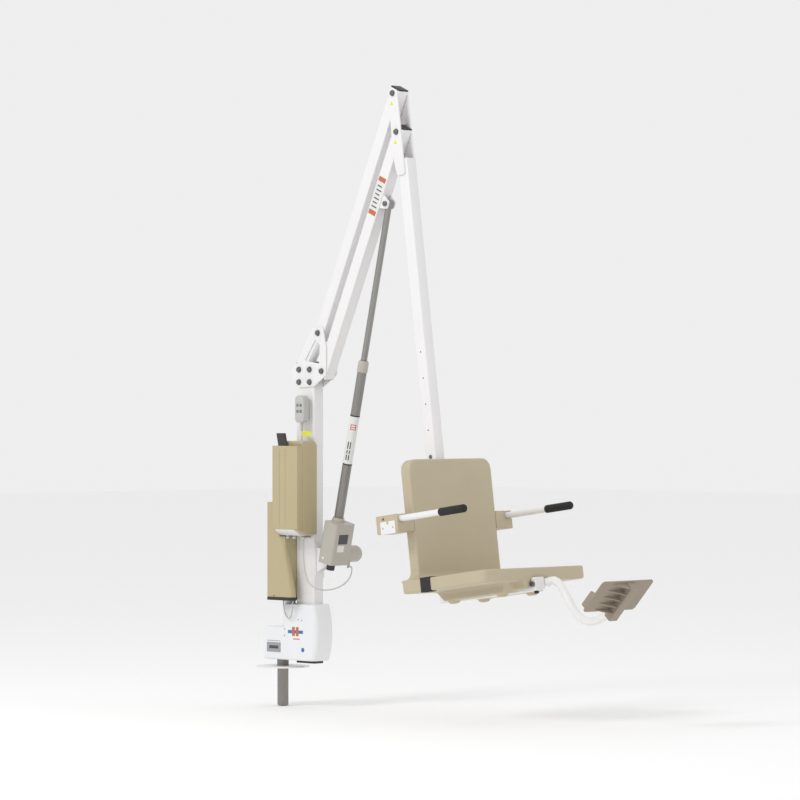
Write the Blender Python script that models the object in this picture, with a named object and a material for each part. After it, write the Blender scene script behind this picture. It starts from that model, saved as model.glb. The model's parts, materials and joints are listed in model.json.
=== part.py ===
"""Deck-mounted pool access lift with a slewing mast, a parallelogram arm and a hanging seat.

The frame: the origin is on the anchor post's axis at deck level, +X is the way the seat faces,
+Y is the seated person's left and +Z is up. All lengths are in metres.
"""

import math

import bmesh
import bpy
from mathutils import Matrix, Vector

MM = 0.001

# ---------------------------------------------------------------- fits
GAP = 0.3 * MM                # between faces that touch
PIN_CLEARANCE = 0.3 * MM      # radial, round a pin or a bolt
SLIDE_CLEARANCE = 0.5 * MM    # round a piece that slides

# ---------------------------------------------------------------- anchor
POST_RADIUS = 22.2 * MM
POST_DEPTH = 152.4 * MM
SHOULDER_RADIUS = 23.3 * MM
POST_TOP = 146 * MM
DISC_RADIUS = 107 * MM
DISC_THICKNESS = 6 * MM

# ---------------------------------------------------------------- slewing gears
GEAR_MODULE = 2 * MM
FIXED_TEETH = 40
PINION_TEETH = 20
GEAR_BOTTOM = 45 * MM
GEAR_THICKNESS = 12 * MM
GEAR_BACKLASH = 0.12 * MM
PRESSURE_ANGLE = math.radians(20)
PINION_BEARING = math.radians(-18)
PINION_SHAFT_RADIUS = 6 * MM

# ---------------------------------------------------------------- mast
MAST_REAR = 105 * MM
MAST_DEPTH = 101.6 * MM
MAST_WIDTH = 50.8 * MM
MAST_WALL = 3.2 * MM
MAST_BOTTOM = 34 * MM
MAST_TOP = 1206 * MM
PLUG_THICKNESS = 5 * MM
BUSH_WALL = 3 * MM
SLEEVE_WALL = 6 * MM
SLEEVE_BOTTOM = 61 * MM
SLEEVE_CAP = 10 * MM

# ---------------------------------------------------------------- base cover
COVER_WALL = 2.5 * MM
COVER_HALF_WIDTH = 50 * MM
COVER_REAR = -58 * MM
COVER_RISE = 60 * MM         # where the raised front part begins
COVER_BOTTOM = 33 * MM
COVER_STEP = 164 * MM
COVER_TOP = 258 * MM
COVER_BELLY = 38 * MM         # how far the bowed front stands out from the mast
COVER_LIP = 19 * MM           # the same at the top and the foot of the bow

# ---------------------------------------------------------------- slewing motor and its cover
COLUMN_RADIUS = 25 * MM
MOTOR_RADIUS = 28 * MM
MOTOR_TOP = 515 * MM
MOTOR_COVER_REAR = 10 * MM
MOTOR_COVER_FOOT = 284 * MM
MOTOR_COVER_TOP = 661 * MM
MOTOR_COVER_OUTSIDE = -96 * MM
MOTOR_COVER_FRONT = 152 * MM
MOTOR_COVER_SHOULDER = 97 * MM
MOTOR_COVER_PANEL = 26 * MM   # thickness of the slanted outer part
MOTOR_COVER_NECK = 80 * MM
MOTOR_COVER_NECK_HEIGHT = 526 * MM
BASE_STRIP = 12 * MM

# ---------------------------------------------------------------- control unit and battery
CONTROL_REAR = 82.5 * MM
CONTROL_FRONT = 225 * MM
CONTROL_OUTSIDE = -136 * MM
CONTROL_FOOT = 556 * MM
CONTROL_SKIRT = 535 * MM
CONTROL_SHOULDER = 886 * MM
CONTROL_CROWN = 905 * MM
CONTROL_WALL = 3 * MM
TRAY_REAR = 91.5 * MM
TRAY_FRONT = 202 * MM
TRAY_OUTSIDE = -131 * MM
TRAY_BEND = -96 * MM          # where the sloped part of its bottom begins
TRAY_FOOT = 531 * MM
TRAY_SLOPE = 21 * MM
TRAY_HEIGHT = 62 * MM
GLAND_RADIUS = 6.5 * MM
GLAND_LENGTH = 12 * MM
BATTERY_THICKNESS = 24 * MM
BATTERY_HEIGHT = 240 * MM
HANDLE_HEIGHT = 52 * MM

# ---------------------------------------------------------------- arms
ARM_LENGTH = 1016 * MM
ARM_LEAN = math.radians(24.3)
ARM_SIZE = 50.8 * MM
ARM_WALL = 3.2 * MM
ARM_TAIL = 26 * MM            # below the base pivot
ARM_NOSE = 18 * MM            # beyond the top pivot
PIVOT_SPACING = 152.4 * MM
PIVOT_TILT = math.radians(7.73)
ARM_PIVOT_X = 254.6 * MM
ARM_PIVOT_Z = 1181 * MM
PLATE_THICKNESS = 6 * MM
BOLT_RADIUS = 6 * MM
BOLT_HEAD_FLATS = 19 * MM
BOLT_HEAD = 8 * MM
MAST_BOLT_X = 60.5 * MM
MAST_BOLT_Z = 49.6 * MM
MAST_BOLT_DROP = 43 * MM      # from the arm pivot's height to the lower bolts

# ---------------------------------------------------------------- lifting actuator
ACTUATOR_REACH = 737 * MM     # arm pivot to either end of the actuator
ACTUATOR_BASE_REACH = 77.4 * MM
ACTUATOR_LUG_DROP = 49 * MM
HOUSING_HALF_WIDTH = 51.5 * MM
HOUSING_REAR = -28 * MM
HOUSING_FRONT = 49 * MM
HOUSING_FOOT = -20 * MM
HOUSING_TOP = 146 * MM
DRIVE_MOTOR_RADIUS = 33 * MM
DRIVE_MOTOR_REACH = 74 * MM
DRIVE_MOTOR_AT = (14 * MM, 17 * MM)
TUBE_RADIUS = 18.7 * MM
TUBE_BORE = 15 * MM
ROD_RADIUS = 12.5 * MM
ROD_BORE = 9 * MM
ROD_LENGTH = 705 * MM
SPINDLE_RADIUS = 8 * MM
ACTUATOR_BODY = 797 * MM
NOSE_LENGTH = 47 * MM
NOSE_RADIUS = 21 * MM
RELIEF_RADIUS = 5 * MM
BRACKET_EAR_INNER = 12 * MM
BRACKET_EAR = 6 * MM

# ---------------------------------------------------------------- hanger
HANGER_AXIS = 10.8 * MM       # in front of the pivots
HANGER_TOP = -107 * MM
HANGER_FOOT = -1837 * MM
HANGER_FRONT = 493.3 * MM
HANGER_SIZE = 50.8 * MM
HANGER_WALL = 3.2 * MM
PLATE_FRONT = 24 * MM         # of the side plates, in front of the pivots
HOLE_PITCH = 101.6 * MM
FIRST_HOLE = -864 * MM
HOLE_COUNT = 5
HOLE_RADIUS = 3.4 * MM

# ---------------------------------------------------------------- seat
BACK_HALF_WIDTH = 225 * MM
BACK_THICKNESS = 50 * MM
BACK_TOP = -1287 * MM
PAN_HALF_WIDTH = 280 * MM
PAN_THICKNESS = 51 * MM
PAN_TOP = -1748 * MM
PAN_FRONT = 477 * MM
SEAT_CORNER = 40 * MM
PAN_CORNER = 24 * MM
KEEL_HALF_WIDTH = 115 * MM
KEEL_REAR = 92 * MM
KEEL_FRONT = 402 * MM
KEEL_DEPTH = 36 * MM
FOOT_DEPTH = 13 * MM
STRAP_REAR = 143 * MM
STRAP_WIDTH = 52 * MM
STRAP_THICKNESS = 2.5 * MM
STRAP_INSET = 80 * MM

# ---------------------------------------------------------------- armrests
ARMREST_AXIS = 292 * MM       # either side of the middle
ARMREST_HEIGHT = -1513 * MM
ARMREST_PIVOT = 12.3 * MM
ARMREST_END = 421 * MM
ARMREST_RADIUS = 12.7 * MM
ARMREST_BORE = 10.7 * MM
GRIP_RADIUS = 15.5 * MM
GRIP_LENGTH = 132 * MM
BLOCK_REAR = -28 * MM
BLOCK_FRONT = 86 * MM
BLOCK_OUTSIDE = 316 * MM
BLOCK_TOP = -1494 * MM
BLOCK_FOOT = -1564 * MM
BLOCK_SLOT_REAR = -7 * MM
ARMREST_TAIL = 12 * MM        # of the tube behind its pin
ARMREST_PIN = 4 * MM

# ---------------------------------------------------------------- footrest
FOOTREST_PIVOT = (482 * MM, -1812 * MM)
FOOTREST_RISE = 5 * MM        # of the tube above its pivot
FOOTREST_TUBE = 16 * MM
PLATE_SLOPE = math.radians(39.7)
PLATE_HEEL = (339 * MM, -131 * MM)
PLATE_LENGTH = 151 * MM
PLATE_HALF_WIDTH = 139 * MM
PLATE_SKIN = 6 * MM
PLATE_LIP = 20 * MM
SPINE_SIDE = 14 * MM
SPINE_HALF_WIDTH = 21 * MM
SPINE_DEPTH = 38 * MM
RIB_COUNT = 5
RIB_REACH = 84 * MM

# ---------------------------------------------------------------- handset
HANDSET_AT = (173 * MM, -60.5 * MM, 978 * MM)
HANDSET_SIZE = (50 * MM, 31 * MM, 107 * MM)
HANDSET_NECK = 34 * MM
BUTTON_RADIUS = 6 * MM
BUTTON_STANDS = 1.8 * MM
BUTTON_POCKET = 4 * MM
BUTTON_TRAVEL = 1.5 * MM
CABLE_RADIUS = 2.6 * MM

# ---------------------------------------------------------------- worked out from the above
HALF_MAST = MAST_WIDTH / 2
HALF_ARM = ARM_SIZE / 2
MAST_FRONT = MAST_REAR + MAST_DEPTH
PLATE_INSIDE = HALF_MAST + GAP
PLATE_OUTSIDE = PLATE_INSIDE + PLATE_THICKNESS
GEAR_CENTRES = GEAR_MODULE * (FIXED_TEETH + PINION_TEETH) / 2
PINION_X = GEAR_CENTRES * math.cos(PINION_BEARING)
PINION_Y = GEAR_CENTRES * math.sin(PINION_BEARING)
UPPER_PIVOT_X = ARM_PIVOT_X - PIVOT_SPACING * math.sin(PIVOT_TILT)
UPPER_PIVOT_Z = ARM_PIVOT_Z + PIVOT_SPACING * math.cos(PIVOT_TILT)
TOP_PIVOT_X = ARM_PIVOT_X + ARM_LENGTH * math.sin(ARM_LEAN)
TOP_PIVOT_Z = ARM_PIVOT_Z + ARM_LENGTH * math.cos(ARM_LEAN)
ACTUATOR_X = MAST_FRONT + ACTUATOR_BASE_REACH
ACTUATOR_Z = ARM_PIVOT_Z - math.sqrt(ACTUATOR_REACH**2 - (ACTUATOR_X - ARM_PIVOT_X) ** 2)
LUG_ALONG = math.sqrt(ACTUATOR_REACH**2 - ACTUATOR_LUG_DROP**2)
LUG_X = ARM_PIVOT_X + LUG_ALONG * math.sin(ARM_LEAN) + ACTUATOR_LUG_DROP * math.cos(ARM_LEAN)
LUG_Z = ARM_PIVOT_Z + LUG_ALONG * math.cos(ARM_LEAN) - ACTUATOR_LUG_DROP * math.sin(ARM_LEAN)
ACTUATOR_LENGTH = math.hypot(LUG_X - ACTUATOR_X, LUG_Z - ACTUATOR_Z)
ACTUATOR_LEAN = math.atan2(LUG_X - ACTUATOR_X, LUG_Z - ACTUATOR_Z)
FOOTREST_SIDE = HANGER_SIZE / 2 + GAP + FOOTREST_TUBE
BACK_REAR = HANGER_AXIS + HANGER_SIZE / 2 + GAP
BACK_FRONT = BACK_REAR + BACK_THICKNESS
PAN_FOOT = PAN_TOP - PAN_THICKNESS
BRACKET_EAR_OUTER = BRACKET_EAR_INNER + BRACKET_EAR


# ---------------------------------------------------------------- helpers
def clear_scene():
    for obj in list(bpy.data.objects):
        bpy.data.objects.remove(obj, do_unlink=True)


def material(name, colour, roughness, metallic=0.0):
    finish = bpy.data.materials.new(name)
    finish.use_nodes = True
    shader = finish.node_tree.nodes["Principled BSDF"]
    shader.inputs["Base Color"].default_value = (*colour, 1)
    shader.inputs["Roughness"].default_value = roughness
    shader.inputs["Metallic"].default_value = metallic
    finish.diffuse_color = (*colour, 1)
    return finish


def joint_frame(name, x, y, z, lean=0.0, parent=None):
    """An empty on a joint's axis; lean turns it about Y, so +Z leans towards +X."""
    empty = bpy.data.objects.new(name, None)
    empty.location = (x, y, z)
    empty.rotation_euler = (0, lean, 0)
    empty.parent = parent
    bpy.context.scene.collection.objects.link(empty)
    return empty


def finish_object(name, bm, finish, parent):
    bmesh.ops.recalc_face_normals(bm, faces=bm.faces)
    mesh = bpy.data.meshes.new(name)
    bm.to_mesh(mesh)
    bm.free()
    if finish:
        mesh.materials.append(finish)
    obj = bpy.data.objects.new(name, mesh)
    obj.parent = parent
    bpy.context.scene.collection.objects.link(obj)
    return obj


def prism(name, outline, along, low, high, finish=None, parent=None):
    """A flat outline carried from low to high along x, y or z."""
    places = {
        "x": lambda a, b, h: (h, a, b),
        "y": lambda a, b, h: (a, h, b),
        "z": lambda a, b, h: (a, b, h),
    }
    place = places[along]
    bm = bmesh.new()
    first = [bm.verts.new(place(a, b, low)) for a, b in outline]
    last = [bm.verts.new(place(a, b, high)) for a, b in outline]
    bm.faces.new(first)
    bm.faces.new(last)
    for i in range(len(outline)):
        bm.faces.new((first[i - 1], first[i], last[i], last[i - 1]))
    return finish_object(name, bm, finish, parent)


def box(name, low, high, finish=None, parent=None):
    outline = [(low[0], low[1]), (high[0], low[1]), (high[0], high[1]), (low[0], high[1])]
    return prism(name, outline, "z", low[2], high[2], finish, parent)


def rounded(corners, steps=4):
    """An outline from (a, b, radius) corners, each turned into an arc of that radius."""
    points = []
    for i, (a, b, radius) in enumerate(corners):
        corner = Vector((a, b))
        if radius == 0:
            points.append((a, b))
            continue
        before = (Vector(corners[i - 1][:2]) - corner).normalized()
        after = (Vector(corners[(i + 1) % len(corners)][:2]) - corner).normalized()
        half = before.angle(after) / 2
        centre = corner + (before + after).normalized() * radius / math.sin(half)
        start = corner + before * radius / math.tan(half) - centre
        end = corner + after * radius / math.tan(half) - centre
        turn = start.angle_signed(end)
        for step in range(steps + 1):
            swung = start.copy()
            swung.rotate(Matrix.Rotation(-turn * step / steps, 2))
            points.append(tuple(centre + swung))
    return points


def rectangle(low, high, radius=0.0, steps=4):
    corners = [(low[0], low[1]), (high[0], low[1]), (high[0], high[1]), (low[0], high[1])]
    return rounded([(a, b, radius) for a, b in corners], steps)


AXIS_TURNS = {
    "z": Matrix.Identity(4),
    "y": Matrix.Rotation(math.radians(-90), 4, "X"),
    "x": Matrix.Rotation(math.radians(90), 4, "Y"),
}


def stack_rings(name, rings, poles, axis, at, finish, parent):
    """A skin over a stack of rings; poles closes both ends, else the stack joins up as a loop."""
    bm = bmesh.new()
    layers = [[bm.verts.new(p) for p in ring] for ring in rings]
    count = len(rings[0])
    pairs = list(zip(layers, layers[1:]))
    if poles:
        bm.faces.new(layers[0])
        bm.faces.new(layers[-1])
    else:
        pairs.append((layers[-1], layers[0]))
    for lower, upper in pairs:
        for i in range(count):
            bm.faces.new((lower[i - 1], lower[i], upper[i], upper[i - 1]))
    bmesh.ops.transform(bm, matrix=Matrix.Translation(at) @ AXIS_TURNS[axis], verts=bm.verts)
    obj = finish_object(name, bm, finish, parent)
    obj.data.shade_smooth()
    obj.data.set_sharp_from_angle(angle=math.radians(30))
    return obj


def ring_points(radius, height, segments, hexagon=False):
    points = []
    for i in range(segments):
        angle = 2 * math.pi * i / segments
        reach = radius
        if hexagon:
            reach = radius / math.cos((angle + math.pi / 6) % (math.pi / 3) - math.pi / 6)
        turn = angle + math.pi / 2 / segments
        points.append((reach * math.cos(turn), reach * math.sin(turn), height))
    return points


def turned(name, profile, axis="z", at=(0, 0, 0), finish=None, parent=None, segments=24, hollow=False):
    """A body of revolution: (radius, height) points up the outside, and down the bore if hollow."""
    rings = [ring_points(radius, height, segments) for radius, height in profile]
    return stack_rings(name, rings, not hollow, axis, at, finish, parent)


def cylinder(name, radius, low, high, axis="z", at=(0, 0, 0), finish=None, parent=None, segments=24):
    return turned(name, [(radius, low), (radius, high)], axis, at, finish, parent, segments)


def through_bolt(name, half_length, x, z, finish, parent, radius=BOLT_RADIUS, head=BOLT_HEAD,
                 flats=BOLT_HEAD_FLATS):
    """A hexagon bolt along Y with its nut, gripping what lies within half_length of the middle."""
    seat = half_length + GAP
    segments = 12
    rings = [
        ring_points(flats / 2 * 0.86, -seat - head, segments),
        ring_points(flats / 2, -seat - head * 0.8, segments, hexagon=True),
        ring_points(flats / 2, -seat, segments, hexagon=True),
        ring_points(radius, -seat, segments),
        ring_points(radius, seat, segments),
        ring_points(flats / 2, seat, segments, hexagon=True),
        ring_points(flats / 2, seat + head * 0.8, segments, hexagon=True),
        ring_points(radius, seat + head, segments),
    ]
    return stack_rings(name, rings, True, "y", (x, 0, z), finish, parent)


def hide_guide(guide):
    guide.hide_render = True
    guide.display_type = "WIRE"
    return guide


def combine(target, guide, operation):
    modifier = target.modifiers.new(guide.name, "BOOLEAN")
    modifier.operation = operation
    modifier.solver = "EXACT"
    modifier.object = hide_guide(guide)
    return target


def cut(target, *cutters):
    for cutter in cutters:
        combine(target, cutter, "DIFFERENCE")
    return target


def together(name, *cutters):
    """One cutter from several that stand clear of each other."""
    bm = bmesh.new()
    for cutter in cutters:
        bm.from_mesh(cutter.data)
    parent = cutters[0].parent
    for cutter in cutters:
        bpy.data.objects.remove(cutter, do_unlink=True)
    return finish_object(name, bm, None, parent)


def bolt_holes(name, places, half_length, parent):
    """A cutter for clearance holes along Y at (x, z) places."""
    holes = [cylinder(f"{name}_{number}", BOLT_RADIUS + PIN_CLEARANCE, -half_length, half_length, "y",
                      (x, 0, z), parent=parent, segments=12)
             for number, (x, z) in enumerate(places, 1)]
    return together(name, *holes)


def weld(target, *pieces):
    for piece in pieces:
        combine(target, piece, "UNION")
    return target


def bevel(obj, width, segments=2, angle=40):
    modifier = obj.modifiers.new("edges", "BEVEL")
    modifier.width = width
    modifier.segments = segments
    modifier.limit_method = "ANGLE"
    modifier.angle_limit = math.radians(angle)
    return obj


def smooth_route(points, spacing):
    """Points about a spacing apart on a smooth curve through the route's own points."""
    route = [Vector(p) for p in points]
    route = [2 * route[0] - route[1]] + route + [2 * route[-1] - route[-2]]
    result = []
    for before, start, end, after in zip(route, route[1:], route[2:], route[3:]):
        steps = max(1, round((end - start).length / spacing))
        for step in range(steps):
            t = step / steps
            bend = (2 * before - 5 * start + 4 * end - after) * t * t
            twist = (3 * start - before - 3 * end + after) * t**3
            result.append(start + ((end - before) * t + bend + twist) / 2)
    result.append(route[-2])
    return result


def rod_along(name, points, radius, finish=None, parent=None, resolution=2):
    curve = bpy.data.curves.new(name, "CURVE")
    curve.dimensions = "3D"
    curve.bevel_depth = radius
    curve.bevel_resolution = resolution
    curve.use_fill_caps = True
    spline = curve.splines.new("POLY")
    spline.points.add(len(points) - 1)
    for place, point in zip(spline.points, points):
        place.co = (*point, 1)
    if finish:
        curve.materials.append(finish)
    obj = bpy.data.objects.new(name, curve)
    obj.parent = parent
    bpy.context.scene.collection.objects.link(obj)
    return obj


def swept_mesh(name, points, radius, finish, parent, resolution=3):
    """A round bar along the points, as a mesh so that it can be drilled."""
    guide = rod_along(f"{name}_route", points, radius, finish, None, resolution)
    bpy.context.view_layer.update()
    mesh = bpy.data.meshes.new_from_object(guide)
    mesh.name = name
    bpy.data.objects.remove(guide, do_unlink=True)
    bm = bmesh.new()
    bm.from_mesh(mesh)
    bmesh.ops.remove_doubles(bm, verts=bm.verts, dist=0.0001)
    bmesh.ops.recalc_face_normals(bm, faces=bm.faces)
    bm.to_mesh(mesh)
    bm.free()
    obj = bpy.data.objects.new(name, mesh)
    obj.parent = parent
    bpy.context.scene.collection.objects.link(obj)
    mesh.shade_smooth()
    mesh.set_sharp_from_angle(angle=math.radians(30))
    return obj


# ---------------------------------------------------------------- anchor
def make_anchor(paint):
    post = [
        (POST_RADIUS - 2 * MM, -POST_DEPTH),
        (POST_RADIUS, -POST_DEPTH + 2 * MM),
        (POST_RADIUS, DISC_THICKNESS + GAP),
        (SHOULDER_RADIUS, DISC_THICKNESS + GAP),
        (SHOULDER_RADIUS, POST_TOP),
    ]
    turned("anchor_post", post, finish=paint["post"], segments=32)
    edge = 1 * MM
    bore = POST_RADIUS + GAP
    disc = [
        (bore, 0),
        (DISC_RADIUS - edge, 0),
        (DISC_RADIUS, edge),
        (DISC_RADIUS, DISC_THICKNESS - edge),
        (DISC_RADIUS - edge, DISC_THICKNESS),
        (bore, DISC_THICKNESS),
    ]
    turned("deck_flange", disc, finish=paint["white"], segments=48, hollow=True)


def half_tooth(teeth, radius):
    """Half the angle that an involute tooth fills at a radius."""
    pitch_radius = GEAR_MODULE * teeth / 2
    base_radius = pitch_radius * math.cos(PRESSURE_ANGLE)
    swing = math.acos(min(1, base_radius / radius))
    flank = math.tan(PRESSURE_ANGLE) - PRESSURE_ANGLE - (math.tan(swing) - swing)
    return math.pi / (2 * teeth) + flank - GEAR_BACKLASH / 2 / pitch_radius


def gear_outline(teeth, first_tooth, centre=(0, 0)):
    pitch_radius = GEAR_MODULE * teeth / 2
    radii = (pitch_radius - 1.25 * GEAR_MODULE, pitch_radius - 0.2 * GEAR_MODULE,
             pitch_radius + 0.92 * GEAR_MODULE)
    points = []
    for tooth in range(teeth):
        middle = first_tooth + 2 * math.pi * tooth / teeth
        left = [(r, middle - half_tooth(teeth, r)) for r in radii]
        right = [(r, middle + half_tooth(teeth, r)) for r in reversed(radii)]
        for r, angle in left + right:
            points.append((centre[0] + r * math.cos(angle), centre[1] + r * math.sin(angle)))
    return points


def make_slewing_gears(paint, slew, pinion_frame):
    outline = gear_outline(FIXED_TEETH, PINION_BEARING)
    top = GEAR_BOTTOM + GEAR_THICKNESS
    gear = prism("fixed_gear", outline, "z", GEAR_BOTTOM, top, paint["steel"])
    cut(gear, cylinder("fixed_gear_bore", SHOULDER_RADIUS + GAP, GEAR_BOTTOM - MM, top + MM, segments=32))
    first = PINION_BEARING + math.pi + math.pi / PINION_TEETH
    teeth = gear_outline(PINION_TEETH, first)
    pinion = prism("drive_pinion", teeth, "z", GEAR_BOTTOM, top, paint["steel"], pinion_frame)
    shaft_top = MOTOR_COVER_FOOT
    shaft = cylinder("drive_pinion_shaft", PINION_SHAFT_RADIUS, top - 2 * MM, shaft_top,
                     parent=pinion_frame)
    weld(pinion, shaft)


# ---------------------------------------------------------------- mast and base
def make_mast(paint, slew):
    inner = HALF_MAST - MAST_WALL
    tube = box("mast_tube", (MAST_REAR, -HALF_MAST, MAST_BOTTOM), (MAST_FRONT, HALF_MAST, MAST_TOP),
               paint["white"], slew)
    bore = box("mast_bore", (MAST_REAR + MAST_WALL, -inner, MAST_BOTTOM - MM),
               (MAST_FRONT - MAST_WALL, inner, MAST_TOP + MM), parent=slew)
    cut(tube, bore)
    cut(tube, bolt_holes("mast_holes", mast_bolt_places(), HALF_MAST + MM, slew))
    plug_inner = inner - GAP
    plug = box("mast_end_plug", (MAST_REAR + GAP, -HALF_MAST + GAP, MAST_BOTTOM - GAP - 11 * MM),
               (MAST_FRONT - GAP, HALF_MAST - GAP, MAST_BOTTOM - GAP), paint["black"], slew)
    core = box("mast_end_plug_core",
               (MAST_REAR + MAST_WALL + GAP, -plug_inner, MAST_BOTTOM - GAP - MM),
               (MAST_FRONT - MAST_WALL - GAP, plug_inner, MAST_BOTTOM + 18 * MM), parent=slew)
    weld(plug, core)


def make_weldment(paint, slew):
    """The sleeve that turns on the anchor post, with its shelf and its rib to the mast."""
    bush_inside = SHOULDER_RADIUS + PIN_CLEARANCE
    bush_outside = bush_inside + BUSH_WALL
    sleeve_inside = bush_outside + GAP
    sleeve_outside = sleeve_inside + SLEEVE_WALL
    bush = [(bush_inside, SLEEVE_BOTTOM), (bush_outside, SLEEVE_BOTTOM),
            (bush_outside, POST_TOP - MM), (bush_inside, POST_TOP - MM)]
    turned("bearing_bush", bush, finish=paint["bronze"], parent=slew, segments=32, hollow=True)
    cap_foot = POST_TOP + GAP
    shelf_top = cap_foot + SLEEVE_CAP
    sleeve = cylinder("base_weldment", sleeve_outside, SLEEVE_BOTTOM, shelf_top, finish=paint["steel"],
                      parent=slew, segments=32)
    rib = box("base_rib", (20 * MM, MM, SLEEVE_BOTTOM + 3 * MM),
              (MAST_REAR - GAP, HALF_MAST, shelf_top - 2 * MM), parent=slew)
    shelf = box("base_shelf", (10 * MM, -COVER_HALF_WIDTH + 6 * MM, cap_foot + MM),
                (MAST_REAR - GAP, HALF_MAST + 4 * MM, shelf_top - MM), parent=slew)
    weld(sleeve, rib, shelf)
    bore = cylinder("base_bore", sleeve_inside, SLEEVE_BOTTOM - MM, cap_foot, parent=slew, segments=32)
    shaft_hole = cylinder("base_shaft_hole", PINION_SHAFT_RADIUS + PIN_CLEARANCE, SLEEVE_BOTTOM,
                          shelf_top + MM, at=(PINION_X, PINION_Y, 0), parent=slew)
    cut(sleeve, bore, shaft_hole)
    return shelf_top


def base_cover_outline(wall, foot):
    """Side outline of the base cover, drawn in by a wall, with a bowed front."""
    rear = COVER_REAR + wall
    step = COVER_STEP - wall
    top = COVER_TOP - wall
    rise = COVER_RISE + wall
    outline = rounded([(rear, foot, 0), (rear, step, 5 * MM), (rise, step, 0)], 3)
    outline.append((rise, top))
    middle = (COVER_TOP + COVER_BOTTOM) / 2
    half = middle - COVER_BOTTOM
    steps = 10
    for i in range(steps + 1):
        z = top + (foot - top) * i / steps
        share = min(1.0, abs(z - middle) / half)
        bow = COVER_LIP + (COVER_BELLY - COVER_LIP) * (1 - share**2)
        outline.append((MAST_FRONT + bow - wall, z))
    return outline


def make_base_cover(paint, slew):
    cover = prism("base_cover", base_cover_outline(0, COVER_BOTTOM), "y", -COVER_HALF_WIDTH,
                  COVER_HALF_WIDTH, paint["cover"], slew)
    inside = COVER_HALF_WIDTH - COVER_WALL
    hollow = prism("base_cover_hollow", base_cover_outline(COVER_WALL, COVER_BOTTOM - MM), "y",
                   -inside, inside, parent=slew)
    mast_hole = box("base_cover_mast_hole", (MAST_REAR - GAP, -HALF_MAST - GAP, COVER_STEP),
                    (MAST_FRONT + GAP, HALF_MAST + GAP, COVER_TOP + MM), parent=slew)
    column_hole = cylinder("base_cover_column_hole", COLUMN_RADIUS + GAP, COVER_STEP - 8 * MM,
                           COVER_TOP + MM, at=(PINION_X, PINION_Y, 0), parent=slew)
    cut(cover, hollow, mast_hole, column_hole)


def make_slewing_motor(paint, slew, shelf_top):
    """A vertical gearmotor on a column over the sleeve's shelf, bored for the pinion's shaft."""
    foot = shelf_top + GAP - MM
    bore = PINION_SHAFT_RADIUS + PIN_CLEARANCE
    neck = MOTOR_COVER_FOOT + GAP
    profile = [
        (bore, foot),
        (COLUMN_RADIUS, foot),
        (COLUMN_RADIUS, neck),
        (MOTOR_RADIUS, neck + 6 * MM),
        (MOTOR_RADIUS, MOTOR_TOP - 10 * MM),
        (MOTOR_RADIUS - 6 * MM, MOTOR_TOP),
        (bore, MOTOR_TOP),
    ]
    turned("slewing_motor", profile, at=(PINION_X, PINION_Y, 0), finish=paint["motor"], parent=slew,
           hollow=True)


def motor_cover_blocks(inset, foot, parent, word):
    """The cover's volume, drawn in by a wall: slanted outer panel, body, rear wing and top."""
    rear = MOTOR_COVER_REAR + inset
    outside = MOTOR_COVER_OUTSIDE + inset
    panel_inside = MOTOR_COVER_OUTSIDE + MOTOR_COVER_PANEL - inset
    neck = MOTOR_COVER_NECK - inset
    waist = MOTOR_COVER_NECK_HEIGHT - inset
    core = rear + 30 * MM
    side = [
        (core, foot),
        (MOTOR_COVER_FRONT - inset, foot),
        (MOTOR_COVER_SHOULDER - inset, waist),
        (core, waist),
    ]
    head = box(f"motor_{word}_head", (rear, outside, foot),
               (neck, HALF_MAST - inset, MOTOR_COVER_TOP - inset), parent=parent)
    panel = prism(f"motor_{word}_panel", side, "y", outside, panel_inside, parent=parent)
    body = box(f"motor_{word}_body", (core, outside + MM, foot),
               (MAST_REAR + MM - inset, -PLATE_INSIDE - inset, waist), parent=parent)
    wing = box(f"motor_{word}_wing", (core, -HALF_MAST - 5 * MM - inset, foot),
               (MAST_REAR - GAP - inset, HALF_MAST - inset, waist), parent=parent)
    return head, panel, body, wing


def make_motor_cover(paint, slew):
    foot = MOTOR_COVER_FOOT + GAP
    sheet = 3 * MM
    head, *blocks = motor_cover_blocks(0, foot, slew, "cover")
    head.name = "motor_cover"
    head.data.materials.append(paint["tan"])
    weld(head, *blocks)
    cut(head, *motor_cover_blocks(sheet, foot - MM, slew, "hollow"))
    panel_inside = MOTOR_COVER_OUTSIDE + MOTOR_COVER_PANEL
    outline = [
        (MOTOR_COVER_REAR, MOTOR_COVER_OUTSIDE),
        (MOTOR_COVER_FRONT, MOTOR_COVER_OUTSIDE),
        (MOTOR_COVER_FRONT, panel_inside),
        (MAST_REAR + MM, panel_inside),
        (MAST_REAR + MM, -PLATE_INSIDE),
        (MAST_REAR - GAP, -PLATE_INSIDE),
        (MAST_REAR - GAP, HALF_MAST),
        (MOTOR_COVER_REAR, HALF_MAST),
    ]
    low = MOTOR_COVER_FOOT - BASE_STRIP
    strip = prism("motor_cover_base", outline, "z", low, MOTOR_COVER_FOOT, paint["black"], slew)
    hole = cylinder("motor_cover_base_hole", COLUMN_RADIUS + GAP, low - MM, MOTOR_COVER_FOOT + MM,
                    at=(PINION_X, PINION_Y, 0), parent=slew)
    cut(strip, hole)


# ---------------------------------------------------------------- control unit
def gland_places():
    """Five cable glands: three near the outer edge of the tray and two nearer the mast."""
    middle = (TRAY_REAR + TRAY_FRONT) / 2
    return [
        (middle - 26 * MM, -88 * MM),
        (middle + 12 * MM, -88 * MM),
        (TRAY_FRONT - 8 * MM, -73 * MM),
        (TRAY_FRONT - 14 * MM, -56 * MM),
        (TRAY_FRONT - 10 * MM, -40 * MM),
    ]


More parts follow.
